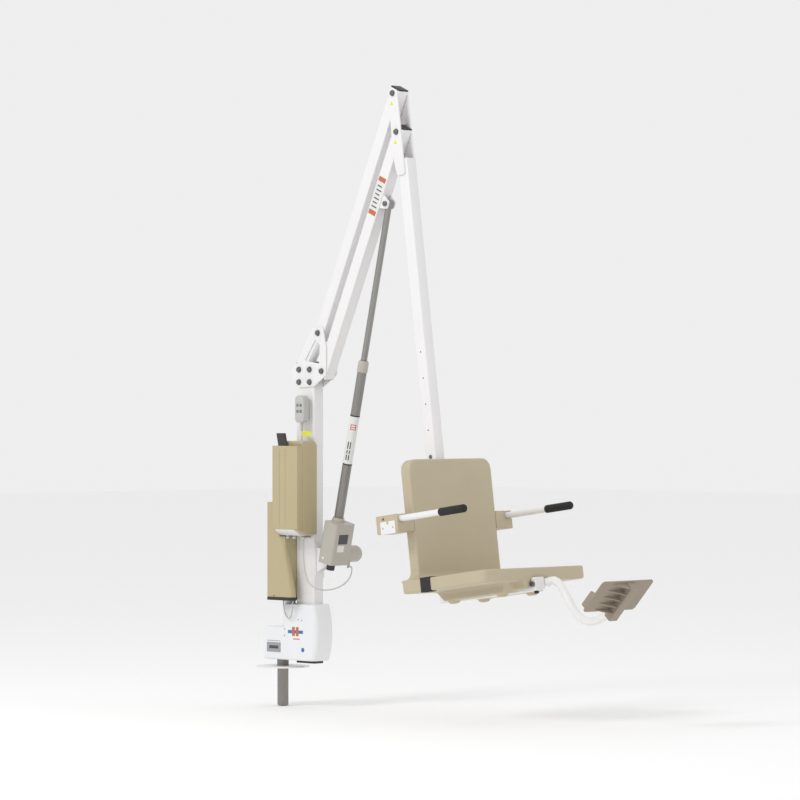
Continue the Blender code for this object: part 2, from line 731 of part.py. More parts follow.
def make_control_unit(paint, slew, battery_frame):
    side = -HALF_MAST - GAP
    slot_outside = CONTROL_OUTSIDE + CONTROL_WALL
    slot_inside = slot_outside + BATTERY_THICKNESS + 2 * SLIDE_CLEARANCE
    ledge = slot_inside - MM
    outline = rounded([
        (side, CONTROL_SKIRT, 0),
        (side, CONTROL_SHOULDER + 2 * MM, 0),
        (side - 16 * MM, CONTROL_CROWN, 8 * MM),
        (ledge, CONTROL_CROWN, 4 * MM),
        (ledge, CONTROL_SHOULDER, 0),
        (CONTROL_OUTSIDE, CONTROL_SHOULDER, 0),
        (CONTROL_OUTSIDE, CONTROL_FOOT, 0),
        (CONTROL_OUTSIDE + 6 * MM, CONTROL_FOOT, 0),
        (CONTROL_OUTSIDE + 44 * MM, CONTROL_SKIRT, 0),
    ], 3)
    cover = prism("control_cover", outline, "x", CONTROL_REAR, CONTROL_FRONT, paint["tan"], slew)
    slot_foot = CONTROL_SHOULDER - 2 * MM - BATTERY_HEIGHT - GAP
    hollow = box("control_hollow",
                 (CONTROL_REAR + CONTROL_WALL, slot_inside + CONTROL_WALL, CONTROL_SKIRT - MM),
                 (CONTROL_FRONT - CONTROL_WALL, side - CONTROL_WALL, CONTROL_SHOULDER - CONTROL_WALL),
                 parent=slew)
    under = box("control_under_slot",
                (CONTROL_REAR + CONTROL_WALL, slot_outside, CONTROL_SKIRT - MM),
                (CONTROL_FRONT - CONTROL_WALL, slot_inside + 2 * CONTROL_WALL, slot_foot - CONTROL_WALL),
                parent=slew)
    slot = box("battery_slot", (CONTROL_REAR + CONTROL_WALL, slot_outside, slot_foot),
               (CONTROL_FRONT - CONTROL_WALL, slot_inside, CONTROL_CROWN + MM), parent=slew)
    cut(cover, hollow, under, slot)
    tray_inside = side - CONTROL_WALL - GAP
    tray_outline = [
        (TRAY_OUTSIDE, TRAY_FOOT + TRAY_HEIGHT),
        (TRAY_OUTSIDE, TRAY_FOOT + TRAY_SLOPE),
        (TRAY_BEND, TRAY_FOOT),
        (tray_inside, TRAY_FOOT),
        (tray_inside, TRAY_FOOT + TRAY_HEIGHT),
    ]
    tray = prism("control_box", tray_outline, "x", TRAY_REAR, TRAY_FRONT, paint["white"], slew)
    for number, (x, y) in enumerate(gland_places(), 1):
        gland = cylinder(f"gland_{number}", GLAND_RADIUS, TRAY_FOOT - GLAND_LENGTH, TRAY_FOOT + MM,
                         at=(x, y, 0), parent=slew, segments=12)
        weld(tray, gland)
    battery_top = CONTROL_SHOULDER - 2 * MM
    low = (CONTROL_REAR + CONTROL_WALL + SLIDE_CLEARANCE, slot_outside + SLIDE_CLEARANCE,
           battery_top - BATTERY_HEIGHT)
    high = (CONTROL_FRONT - CONTROL_WALL - SLIDE_CLEARANCE, slot_inside - SLIDE_CLEARANCE, battery_top)
    battery = bevel(box("battery", low, high, paint["battery"], battery_frame), 2 * MM)
    lean = 12 * MM
    grip = rounded([
        (CONTROL_REAR + 24 * MM, battery_top - 2 * MM, 0),
        (CONTROL_REAR + 68 * MM, battery_top - 2 * MM, 0),
        (CONTROL_REAR + 68 * MM - lean, battery_top + HANDLE_HEIGHT, 4 * MM),
        (CONTROL_REAR + 24 * MM - lean, battery_top + HANDLE_HEIGHT, 4 * MM),
    ], 3)
    handle = prism("battery_handle", grip, "y", low[1] + 6 * MM, high[1] - 6 * MM, parent=battery_frame)
    weld(battery, handle)


# ---------------------------------------------------------------- gussets and bolts
def mast_bolt_places():
    middle = (MAST_REAR + MAST_FRONT) / 2 + MM
    low = ARM_PIVOT_Z - MAST_BOLT_DROP
    return [(middle + dx * MAST_BOLT_X / 2, low + dz * MAST_BOLT_Z) for dz in (0, 1) for dx in (-1, 1)]


def gusset_outline():
    """Side plate: wide at the mast, narrowing to the upper arm's pivot."""
    bolt_low = ARM_PIVOT_Z - MAST_BOLT_DROP
    rear = MAST_REAR - 22 * MM
    front = ARM_PIVOT_X + 25.5 * MM
    return rounded([
        (rear + 40 * MM, bolt_low - 22 * MM, 3 * MM),
        (ARM_PIVOT_X - 46 * MM, bolt_low - 18 * MM, 3 * MM),
        (front, ARM_PIVOT_Z - 15 * MM, 6 * MM),
        (front, UPPER_PIVOT_Z - 60 * MM, 6 * MM),
        (UPPER_PIVOT_X + 28 * MM, UPPER_PIVOT_Z + 22 * MM, 8 * MM),
        (UPPER_PIVOT_X - 32 * MM, UPPER_PIVOT_Z + 22 * MM, 12 * MM),
        (UPPER_PIVOT_X - 44 * MM, UPPER_PIVOT_Z + 2 * MM, 0),
        (rear + 28 * MM, ARM_PIVOT_Z + 25 * MM, 12 * MM),
        (rear, ARM_PIVOT_Z + 6 * MM, 8 * MM),
        (rear + 2 * MM, bolt_low + 19 * MM, 8 * MM),
    ], 3)


def gusset_window():
    return rounded([
        (ARM_PIVOT_X - 95 * MM, ARM_PIVOT_Z + 41 * MM, 3 * MM),
        (ARM_PIVOT_X - 14 * MM, ARM_PIVOT_Z + 30 * MM, 3 * MM),
        (ARM_PIVOT_X - 10 * MM, UPPER_PIVOT_Z - 48 * MM, 3 * MM),
        (UPPER_PIVOT_X - 15 * MM, UPPER_PIVOT_Z - 26 * MM, 3 * MM),
    ], 2)


def make_gussets(paint, slew):
    places = mast_bolt_places() + [(ARM_PIVOT_X, ARM_PIVOT_Z), (UPPER_PIVOT_X, UPPER_PIVOT_Z)]
    window = prism("gusset_window", gusset_window(), "y", -PLATE_OUTSIDE - MM, PLATE_OUTSIDE + MM,
                   parent=slew)
    holes = bolt_holes("gusset_holes", places, PLATE_OUTSIDE + MM, slew)
    openings = together("gusset_openings", window, holes)
    for name, low, high in (("gusset_right", -PLATE_OUTSIDE, -PLATE_INSIDE),
                            ("gusset_left", PLATE_INSIDE, PLATE_OUTSIDE)):
        plate = prism(name, gusset_outline(), "y", low, high, paint["white"], slew)
        cut(plate, openings)
    for number, (x, z) in enumerate(mast_bolt_places(), 1):
        through_bolt(f"mast_bolt_{number}", PLATE_OUTSIDE, x, z, paint["bolt"], slew)
    through_bolt("lower_arm_base_pin", PLATE_OUTSIDE, ARM_PIVOT_X, ARM_PIVOT_Z, paint["bolt"], slew)
    through_bolt("upper_arm_base_pin", PLATE_OUTSIDE, UPPER_PIVOT_X, UPPER_PIVOT_Z, paint["bolt"], slew)


# ---------------------------------------------------------------- arms
def make_arm(name, frame, paint):
    """A square tube up the frame's +Z, drilled at both pivots, with a plug in its top end."""
    top = ARM_LENGTH + ARM_NOSE
    tube = box(f"{name}_tube", (-HALF_ARM, -HALF_ARM, -ARM_TAIL), (HALF_ARM, HALF_ARM, top),
               paint["white"], frame)
    inner = HALF_ARM - ARM_WALL
    bore = box(f"{name}_bore", (-inner, -inner, -ARM_TAIL - MM), (inner, inner, top + MM), parent=frame)
    cut(tube, bore)
    cut(tube, bolt_holes(f"{name}_holes", [(0, 0), (0, ARM_LENGTH)], HALF_ARM + MM, frame))
    flange = HALF_ARM - GAP
    plug = box(f"{name}_end_plug", (-flange, -flange, top + GAP),
               (flange, flange, top + GAP + PLUG_THICKNESS), paint["black"], frame)
    fit = inner - GAP
    core_foot = ARM_LENGTH + BOLT_RADIUS + 2 * MM
    core = box(f"{name}_plug_core", (-fit, -fit, core_foot), (fit, fit, top + GAP + MM), parent=frame)
    weld(plug, core)
    return tube


def make_actuator_lugs(tube, frame):
    """Two ears under the lower arm that hold the top of the actuator."""
    root = HALF_ARM - ARM_WALL / 2
    outline = rounded([
        (root, LUG_ALONG - 28 * MM, 0),
        (root, LUG_ALONG + 28 * MM, 0),
        (ACTUATOR_LUG_DROP + 16 * MM, LUG_ALONG + 14 * MM, 12 * MM),
        (ACTUATOR_LUG_DROP + 16 * MM, LUG_ALONG - 16 * MM, 12 * MM),
    ], 3)
    outer = ROD_RADIUS + GAP + BRACKET_EAR + 2 * MM
    inner = ROD_RADIUS + GAP + 2 * MM
    drill = cylinder("lug_drill", BOLT_RADIUS + PIN_CLEARANCE, -outer - MM, outer + MM, "y",
                     (ACTUATOR_LUG_DROP, 0, LUG_ALONG), parent=frame, segments=12)
    for name, low, high in (("lug_right", -outer, -inner), ("lug_left", inner, outer)):
        weld(tube, prism(name, outline, "y", low, high, parent=frame))
    cut(tube, drill)
    return outer


# ---------------------------------------------------------------- actuator
def make_actuator_bracket(paint, slew):
    back = MAST_FRONT + GAP
    plate = 6 * MM
    reach = 17 * MM
    bracket = box("actuator_bracket", (back, -HALF_MAST + MM, ACTUATOR_Z - 82 * MM),
                  (back + plate, HALF_MAST - MM, ACTUATOR_Z + 56 * MM), paint["white"], slew)
    outline = rounded([
        (back + plate / 2, ACTUATOR_Z - 60 * MM, 0),
        (ACTUATOR_X + reach, ACTUATOR_Z - reach, 12 * MM),
        (ACTUATOR_X + reach, ACTUATOR_Z + reach, 12 * MM),
        (back + plate / 2, ACTUATOR_Z + 40 * MM, 0),
    ], 3)
    for name, low, high in (("ear_right", -BRACKET_EAR_OUTER, -BRACKET_EAR_INNER),
                            ("ear_left", BRACKET_EAR_INNER, BRACKET_EAR_OUTER)):
        weld(bracket, prism(name, outline, "y", low, high, parent=slew))
    drill = cylinder("ear_drill", BOLT_RADIUS + PIN_CLEARANCE, -HALF_MAST, HALF_MAST, "y",
                     (ACTUATOR_X, 0, ACTUATOR_Z), parent=slew, segments=12)
    cut(bracket, drill)
    pin_end = HOUSING_HALF_WIDTH + MM
    cylinder("actuator_base_pin", BOLT_RADIUS, -pin_end, pin_end, "y", (ACTUATOR_X, 0, ACTUATOR_Z),
             paint["white"], slew, 16)


def make_actuator_body(paint, frame):
    """Gearbox housing with its motor, the outer tube, the nose gland and the spindle."""
    plan = rectangle((HOUSING_REAR, -HOUSING_HALF_WIDTH), (HOUSING_FRONT, HOUSING_HALF_WIDTH), 11 * MM)
    housing = prism("actuator_housing", plan, "z", HOUSING_FOOT, HOUSING_TOP, paint["beige"], frame)
    collar = turned("housing_collar", [(26 * MM, HOUSING_TOP - 4 * MM), (26 * MM, HOUSING_TOP + 6 * MM),
                                       (22 * MM, HOUSING_TOP + 17 * MM)], parent=frame)
    motor_foot = HOUSING_HALF_WIDTH - 8 * MM
    motor_end = HOUSING_HALF_WIDTH + DRIVE_MOTOR_REACH
    motor = turned("drive_motor", [
        (DRIVE_MOTOR_RADIUS, motor_foot),
        (DRIVE_MOTOR_RADIUS, motor_end - 14 * MM),
        (DRIVE_MOTOR_RADIUS - 4 * MM, motor_end - 6 * MM),
        (DRIVE_MOTOR_RADIUS - 13 * MM, motor_end),
    ], "y", (DRIVE_MOTOR_AT[0], 0, DRIVE_MOTOR_AT[1]), parent=frame)
    knob = cylinder("breather_knob", 15 * MM, HOUSING_FOOT - 20 * MM, HOUSING_FOOT + MM,
                    at=(31 * MM, -32 * MM, 0), parent=frame, segments=12)
    relief = cylinder("cable_relief", RELIEF_RADIUS, HOUSING_FOOT - 14 * MM, 2 * MM,
                      at=cable_relief_at(), parent=frame, segments=12)
    weld(housing, collar, motor, knob, relief)
    slot_half = BRACKET_EAR_OUTER + GAP
    slot = box("bracket_slot", (HOUSING_REAR - MM, -slot_half, HOUSING_FOOT - MM),
               (27 * MM, slot_half, 36 * MM), parent=frame)
    screw_bore = cylinder("screw_bore", TUBE_BORE, 60 * MM, HOUSING_TOP + 18 * MM, parent=frame)
    pin_bore = cylinder("base_pin_bore", BOLT_RADIUS + PIN_CLEARANCE, -HOUSING_HALF_WIDTH - MM,
                        HOUSING_HALF_WIDTH + MM, "y", parent=frame, segments=12)
    cut(housing, slot, screw_bore, pin_bore)
    tube_foot = HOUSING_TOP + 17 * MM + GAP
    tube_top = ACTUATOR_BODY - NOSE_LENGTH
    tube = [
        (TUBE_BORE, tube_foot),
        (TUBE_RADIUS, tube_foot),
        (TUBE_RADIUS, tube_top),
        (TUBE_BORE, tube_top),
    ]
    turned("actuator_tube", tube, finish=paint["grey"], parent=frame, hollow=True)
    wiper = ROD_RADIUS + PIN_CLEARANCE
    nose = [(wiper, tube_top + GAP), (NOSE_RADIUS, tube_top + GAP), (NOSE_RADIUS, ACTUATOR_BODY - 8 * MM),
            (NOSE_RADIUS - 4 * MM, ACTUATOR_BODY), (wiper, ACTUATOR_BODY)]
    turned("actuator_nose", nose, finish=paint["beige"], parent=frame, hollow=True)
    cylinder("actuator_spindle", SPINDLE_RADIUS, 60 * MM + GAP, ACTUATOR_BODY - 45 * MM,
             finish=paint["steel"], parent=frame, segments=16)


def cable_relief_at():
    """Under the drive motor, where its cable leaves."""
    return (36 * MM, 60 * MM, 0)


def make_actuator_rod(paint, frame):
    """A hollow rod hanging down its frame's Z from the lower arm, with an eye for the top pin."""
    eye = ROD_RADIUS + 4 * MM
    profile = [(ROD_BORE, -ROD_LENGTH), (ROD_RADIUS, -ROD_LENGTH), (ROD_RADIUS, -eye + 2 * MM),
               (ROD_BORE, -eye + 2 * MM)]
    rod = cylinder("actuator_rod", ROD_RADIUS, -ROD_LENGTH, -4 * MM, finish=paint["rod"], parent=frame)
    bore = cylinder("rod_bore", ROD_BORE, -ROD_LENGTH - MM, profile[2][1] - 25 * MM, parent=frame)
    head = cylinder("rod_head", eye, -ROD_RADIUS, ROD_RADIUS, "y", parent=frame)
    drill = cylinder("rod_drill", BOLT_RADIUS + PIN_CLEARANCE, -eye, eye, "y", parent=frame, segments=12)
    weld(rod, head)
    cut(rod, bore, drill)


# ---------------------------------------------------------------- hanger
def make_hanger(paint, hanger):
    half = HANGER_SIZE / 2
    rear = HANGER_AXIS - half
    front = HANGER_AXIS + half
    shelf = HANGER_FOOT + HANGER_SIZE
    outline = [(rear, HANGER_FOOT), (HANGER_FRONT, HANGER_FOOT), (HANGER_FRONT, shelf), (front, shelf),
               (front, HANGER_TOP), (rear, HANGER_TOP)]
    tube = prism("hanger_tube", outline, "y", -half, half, paint["white"], hanger)
    wall = HANGER_WALL
    bore = [(rear + wall, HANGER_FOOT + wall), (HANGER_FRONT - wall, HANGER_FOOT + wall),
            (HANGER_FRONT - wall, shelf - wall), (front - wall, shelf - wall),
            (front - wall, HANGER_TOP + MM), (rear + wall, HANGER_TOP + MM)]
    cut(tube, prism("hanger_bore", bore, "y", -half + wall, half - wall, parent=hanger))
    drills = [cylinder(f"hanger_drill_{number + 1}", HOLE_RADIUS, -half - MM, half + MM, "y",
                       (HANGER_AXIS, 0, FIRST_HOLE - number * HOLE_PITCH), parent=hanger, segments=12)
              for number in range(HOLE_COUNT)]
    pivot_hole = bolt_holes("footrest_pin_hole", [FOOTREST_PIVOT], half + MM, hanger)
    cut(tube, together("hanger_holes", pivot_hole, *drills))
    side = rounded([
        (-17 * MM, HANGER_TOP - 63 * MM, 8 * MM),
        (PLATE_FRONT, HANGER_TOP - 63 * MM, 10 * MM),
        (PLATE_FRONT, PIVOT_SPACING + 9 * MM, 6 * MM),
        (-26 * MM, PIVOT_SPACING + 16 * MM, 8 * MM),
        (-28 * MM, HANGER_TOP - 6 * MM, 4 * MM),
    ], 3)
    drills = bolt_holes("bracket_holes", [(0, 0), (0, PIVOT_SPACING)], PLATE_OUTSIDE + MM, hanger)
    for name, low, high in (("hanger_plate_right", -PLATE_OUTSIDE, -PLATE_INSIDE),
                            ("hanger_plate_left", PLATE_INSIDE, PLATE_OUTSIDE)):
        cut(prism(name, side, "y", low, high, paint["white"], hanger), drills)
    through_bolt("lower_arm_top_pin", PLATE_OUTSIDE, 0, 0, paint["bolt"], hanger)
    through_bolt("upper_arm_top_pin", PLATE_OUTSIDE, 0, PIVOT_SPACING, paint["bolt"], hanger)


# ---------------------------------------------------------------- seat
def make_seat(paint, hanger):
    """Backrest, pan and keel moulded as one, with a channel for the hanger's foot."""
    flare = 35 * MM
    back_outline = rounded([
        (-PAN_HALF_WIDTH, PAN_TOP - 5 * MM, 0),
        (PAN_HALF_WIDTH, PAN_TOP - 5 * MM, 0),
        (PAN_HALF_WIDTH, PAN_TOP + 2 * MM, 0),
        (BACK_HALF_WIDTH, PAN_TOP + 4 * MM, flare),
        (BACK_HALF_WIDTH, BACK_TOP, SEAT_CORNER),
        (-BACK_HALF_WIDTH, BACK_TOP, SEAT_CORNER),
        (-BACK_HALF_WIDTH, PAN_TOP + 4 * MM, flare),
        (-PAN_HALF_WIDTH, PAN_TOP + 2 * MM, 0),
    ], 5)
    seat = prism("seat_shell", back_outline, "x", BACK_REAR, BACK_FRONT, paint["seat"], hanger)
    pan_outline = rounded([
        (BACK_REAR + 3 * MM, -PAN_HALF_WIDTH, 12 * MM),
        (PAN_FRONT, -PAN_HALF_WIDTH, PAN_CORNER),
        (PAN_FRONT, PAN_HALF_WIDTH, PAN_CORNER),
        (BACK_REAR + 3 * MM, PAN_HALF_WIDTH, 12 * MM),
    ], 5)
    pan = prism("seat_pan", pan_outline, "z", PAN_FOOT, PAN_TOP, parent=hanger)
    keel_foot = PAN_FOOT - KEEL_DEPTH
    keel_outline = [(KEEL_REAR, keel_foot), (KEEL_FRONT, keel_foot), (KEEL_FRONT + 26 * MM, PAN_FOOT + MM),
                    (KEEL_REAR - 34 * MM, PAN_FOOT + MM)]
    keel = prism("seat_keel", keel_outline, "y", -KEEL_HALF_WIDTH, KEEL_HALF_WIDTH, parent=hanger)
    boss = box("seat_boss", (KEEL_FRONT, -65 * MM, PAN_FOOT - 30 * MM),
               (PAN_FRONT - MM, 65 * MM, PAN_FOOT + MM), parent=hanger)
    fillet_side = 22 * MM
    corner = (BACK_FRONT, PAN_TOP)
    fillet_outline = [(corner[0] - MM, corner[1] - MM), (corner[0] + fillet_side, corner[1] - MM)]
    for step in range(5):
        angle = math.radians(90 * step / 4)
        fillet_outline.append((corner[0] + fillet_side * (1 - math.sin(angle)),
                               corner[1] + fillet_side * (1 - math.cos(angle))))
    fillet_outline.append((corner[0] - MM, corner[1] + fillet_side))
    fillet = prism("seat_fillet", fillet_outline, "y", -BACK_HALF_WIDTH + 4 * MM, BACK_HALF_WIDTH - 4 * MM,
                   parent=hanger)
    weld(seat, pan, keel, boss, fillet)
    for number, (x, y) in enumerate(((118 * MM, -82 * MM), (118 * MM, 82 * MM), (372 * MM, -82 * MM),
                                     (372 * MM, 82 * MM)), 1):
        foot_shape = [(21 * MM, keel_foot - FOOT_DEPTH), (24 * MM, keel_foot + 20 * MM)]
        foot = turned(f"seat_foot_{number}", foot_shape, at=(x, y, 0), parent=hanger, segments=16)
        weld(seat, foot)
    half = HANGER_SIZE / 2 + GAP
    channel = box("seat_channel", (BACK_REAR - 5 * MM, -half, HANGER_FOOT - 20 * MM),
                  (PAN_FRONT + 5 * MM, half, HANGER_FOOT + HANGER_SIZE + GAP), parent=hanger)
    notch_rear = FOOTREST_PIVOT[0] - 18 * MM
    arm_side = FOOTREST_SIDE + FOOTREST_TUBE + BOLT_HEAD + 3 * MM
    arm_top = FOOTREST_PIVOT[1] + FOOTREST_RISE + FOOTREST_TUBE + 3 * MM
    arm_notch = box("footrest_notch", (notch_rear, half - MM, HANGER_FOOT - 20 * MM),
                    (PAN_FRONT + 5 * MM, arm_side, arm_top), parent=hanger)
    head_notch = box("footrest_bolt_notch", (notch_rear, -half - BOLT_HEAD - 3 * MM, HANGER_FOOT - 20 * MM),
                     (PAN_FRONT + 5 * MM, MM - half, FOOTREST_PIVOT[1] + 13 * MM), parent=hanger)
    cut(seat, channel, arm_notch, head_notch)


def make_strap(paint, hanger):
    """A webbing belt end wrapped round the right edge of the pan."""
    outside = -PAN_HALF_WIDTH - GAP
    top = PAN_TOP + GAP
    foot = PAN_FOOT - GAP
    inner_end = -PAN_HALF_WIDTH + STRAP_INSET
    thick = STRAP_THICKNESS
    outline = [
        (inner_end, top),
        (inner_end, top + thick),
        (outside - thick, top + thick),
        (outside - thick, foot - thick),
        (outside + 30 * MM, foot - thick),
        (outside + 30 * MM, foot),
        (outside, foot),
        (outside, top),
    ]
    prism("seat_strap", outline, "x", STRAP_REAR, STRAP_REAR + STRAP_WIDTH, paint["webbing"], hanger)


# ---------------------------------------------------------------- armrests
def make_armrest(side, word, paint, hanger, frame):
    """A block on the seat's side, a tube that flips up out of its slot, and a foam grip."""
    inner = BACK_HALF_WIDTH + GAP
    low_y, high_y = sorted((side * inner, side * BLOCK_OUTSIDE))
    axis_y = side * ARMREST_AXIS
    block = box(f"armrest_block_{word}", (BLOCK_REAR, low_y, BLOCK_FOOT), (BLOCK_FRONT, high_y, BLOCK_TOP),
                paint["seat"], hanger)
    bevel(block, 3 * MM)
    slot_half = ARMREST_RADIUS + 1 * MM
    slot = rounded([
        (axis_y - slot_half, ARMREST_HEIGHT - slot_half, 9 * MM),
        (axis_y + slot_half, ARMREST_HEIGHT - slot_half, 9 * MM),
        (axis_y + slot_half, BLOCK_TOP + 5 * MM, 0),
        (axis_y - slot_half, BLOCK_TOP + 5 * MM, 0),
    ], 4)
    cut(block, prism(f"armrest_slot_{word}", slot, "x", BLOCK_SLOT_REAR, BLOCK_FRONT + MM, parent=hanger))
    tail_swing = math.hypot(ARMREST_TAIL, ARMREST_RADIUS) + MM
    well_half = ARMREST_RADIUS + SLIDE_CLEARANCE
    well = box(f"armrest_well_{word}", (BLOCK_SLOT_REAR, axis_y - well_half, ARMREST_HEIGHT - tail_swing),
               (ARMREST_PIVOT + tail_swing, axis_y + well_half, ARMREST_HEIGHT), parent=hanger)
    cut(block, well)
    pin_half = slot_half + 3 * MM
    pin = cylinder(f"armrest_pin_{word}", ARMREST_PIN, axis_y - pin_half, axis_y + pin_half, "y",
                   (ARMREST_PIVOT, 0, ARMREST_HEIGHT), parent=hanger, segments=12)
    weld(block, pin)
    length = ARMREST_END - ARMREST_PIVOT
    tail = -ARMREST_TAIL
    wall = [(ARMREST_BORE, tail), (ARMREST_RADIUS, tail), (ARMREST_RADIUS, length), (ARMREST_BORE, length)]
    tube = turned(f"armrest_tube_{word}", wall, "x", finish=paint["white"], parent=frame, segments=20,
                  hollow=True)
    drill = cylinder(f"armrest_drill_{word}", ARMREST_PIN + PIN_CLEARANCE, -ARMREST_RADIUS - MM,
                     ARMREST_RADIUS + MM, "y", parent=frame, segments=12)
    cut(tube, drill)
    grip_end = length + 5 * MM
    sleeve = ARMREST_RADIUS + GAP
    grip = turned(f"armrest_grip_{word}", [
        (GRIP_RADIUS - 1.5 * MM, grip_end - GRIP_LENGTH),
        (GRIP_RADIUS, grip_end - GRIP_LENGTH + 2 * MM),
        (GRIP_RADIUS, grip_end - 7 * MM),
        (GRIP_RADIUS - 3 * MM, grip_end - 2 * MM),
        (GRIP_RADIUS - 8 * MM, grip_end),
    ], "x", finish=paint["foam"], parent=frame, segments=20)
    cut(grip, cylinder(f"armrest_sleeve_{word}", sleeve, grip_end - GRIP_LENGTH - MM, length + GAP, "x",
                       parent=frame, segments=20))


# ---------------------------------------------------------------- footrest
def footrest_route():
    """The bent tube's middle line from the pivot to the plate, in the footrest's frame."""
    heel_x, heel_z = PLATE_HEEL
    cos, sin = math.cos(PLATE_SLOPE), math.sin(PLATE_SLOPE)

    def on_plate(along, below):
        return (heel_x + along * cos + below * sin, SPINE_SIDE, heel_z + along * sin - below * cos)

    root = FOOTREST_SIDE
    return [
        (-10 * MM, root, FOOTREST_RISE),
        (16 * MM, root, FOOTREST_RISE),
        (46 * MM, root, 7 * MM),
        (74 * MM, root, -13 * MM),
        (102 * MM, root - 2 * MM, -55 * MM),
        (132 * MM, root - 4 * MM, -107 * MM),
        (166 * MM, root - 8 * MM, -144 * MM),
        (212 * MM, root - 14 * MM, -163 * MM),
        (260 * MM, root - 20 * MM, -165 * MM),
        (296 * MM, root - 24 * MM, -156 * MM),
        on_plate(0, 19 * MM),
        on_plate(50 * MM, 19 * MM),
        on_plate(90 * MM, 19 * MM),
    ]


def make_footrest(paint, hanger, frame):
    half = HANGER_SIZE / 2
    route = smooth_route(footrest_route(), 16 * MM)
    arm = swept_mesh("footrest_arm", route, FOOTREST_TUBE, paint["white"], frame)
    arm_drill = cylinder("footrest_arm_drill", BOLT_RADIUS + PIN_CLEARANCE, half,
                         FOOTREST_SIDE + 20 * MM, "y", parent=frame, segments=12)
    cut(arm, arm_drill)
    inner = -half - GAP
    outer = FOOTREST_SIDE + FOOTREST_TUBE
    segments = 12
    rings = [
        ring_points(BOLT_HEAD_FLATS / 2, inner - BOLT_HEAD, segments, hexagon=True),
        ring_points(BOLT_HEAD_FLATS / 2, inner, segments, hexagon=True),
        ring_points(BOLT_RADIUS, inner, segments),
        ring_points(BOLT_RADIUS, outer + GAP, segments),
        ring_points(BOLT_HEAD_FLATS / 2, outer + GAP, segments, hexagon=True),
        ring_points(BOLT_HEAD_FLATS / 2, outer + BOLT_HEAD, segments, hexagon=True),
    ]
    place = (FOOTREST_PIVOT[0], 0, FOOTREST_PIVOT[1])
    stack_rings("footrest_pin", rings, True, "y", place, paint["bolt"], hanger)
    plate_frame = joint_frame("footplate_frame", PLATE_HEEL[0], 0, PLATE_HEEL[1], -PLATE_SLOPE, frame)
    plan = rectangle((0, -PLATE_HALF_WIDTH), (PLATE_LENGTH, PLATE_HALF_WIDTH), 12 * MM)
    plate = prism("footrest_plate", plan, "z", -PLATE_SKIN, 0, paint["footplate"], plate_frame)
    spine_low = SPINE_SIDE - SPINE_HALF_WIDTH
    spine_high = SPINE_SIDE + SPINE_HALF_WIDTH
    spine = prism("plate_spine", [(-22 * MM, -SPINE_DEPTH), (PLATE_LENGTH - 6 * MM, -SPINE_DEPTH),
                                  (PLATE_LENGTH - 6 * MM, -MM), (MM, -MM), (-22 * MM, -7 * MM)],
                  "y", spine_low, spine_high, parent=plate_frame)
    weld(plate, spine)
    lip = 5 * MM
    for word, low in (("right", -PLATE_HALF_WIDTH), ("left", PLATE_HALF_WIDTH - lip)):
        lip_outline = rounded([
            (15 * MM, -MM, 0),
            (92 * MM, -MM, 0),
            (84 * MM, PLATE_LIP, 4 * MM),
            (15 * MM, PLATE_LIP, 4 * MM),
        ], 3)
        weld(plate, prism(f"plate_lip_{word}", lip_outline, "y", low, low + lip, parent=plate_frame))
    for number in range(RIB_COUNT):
        at = 8 * MM + number * (PLATE_LENGTH - 22 * MM) / (RIB_COUNT - 1)
        rib = [(spine_low - RIB_REACH, -PLATE_SKIN + MM), (spine_low + MM, -SPINE_DEPTH + 4 * MM),
               (spine_low + MM, -PLATE_SKIN + MM)]
        weld(plate, prism(f"plate_rib_{number + 1}", rib, "x", at, at + 4 * MM, parent=plate_frame))
    beyond = route[-1] + (route[-1] - route[-2]).normalized() * GAP
    socket = swept_mesh("plate_socket", route[:-1] + [beyond], FOOTREST_TUBE + GAP, None, frame)
    cut(plate, socket)


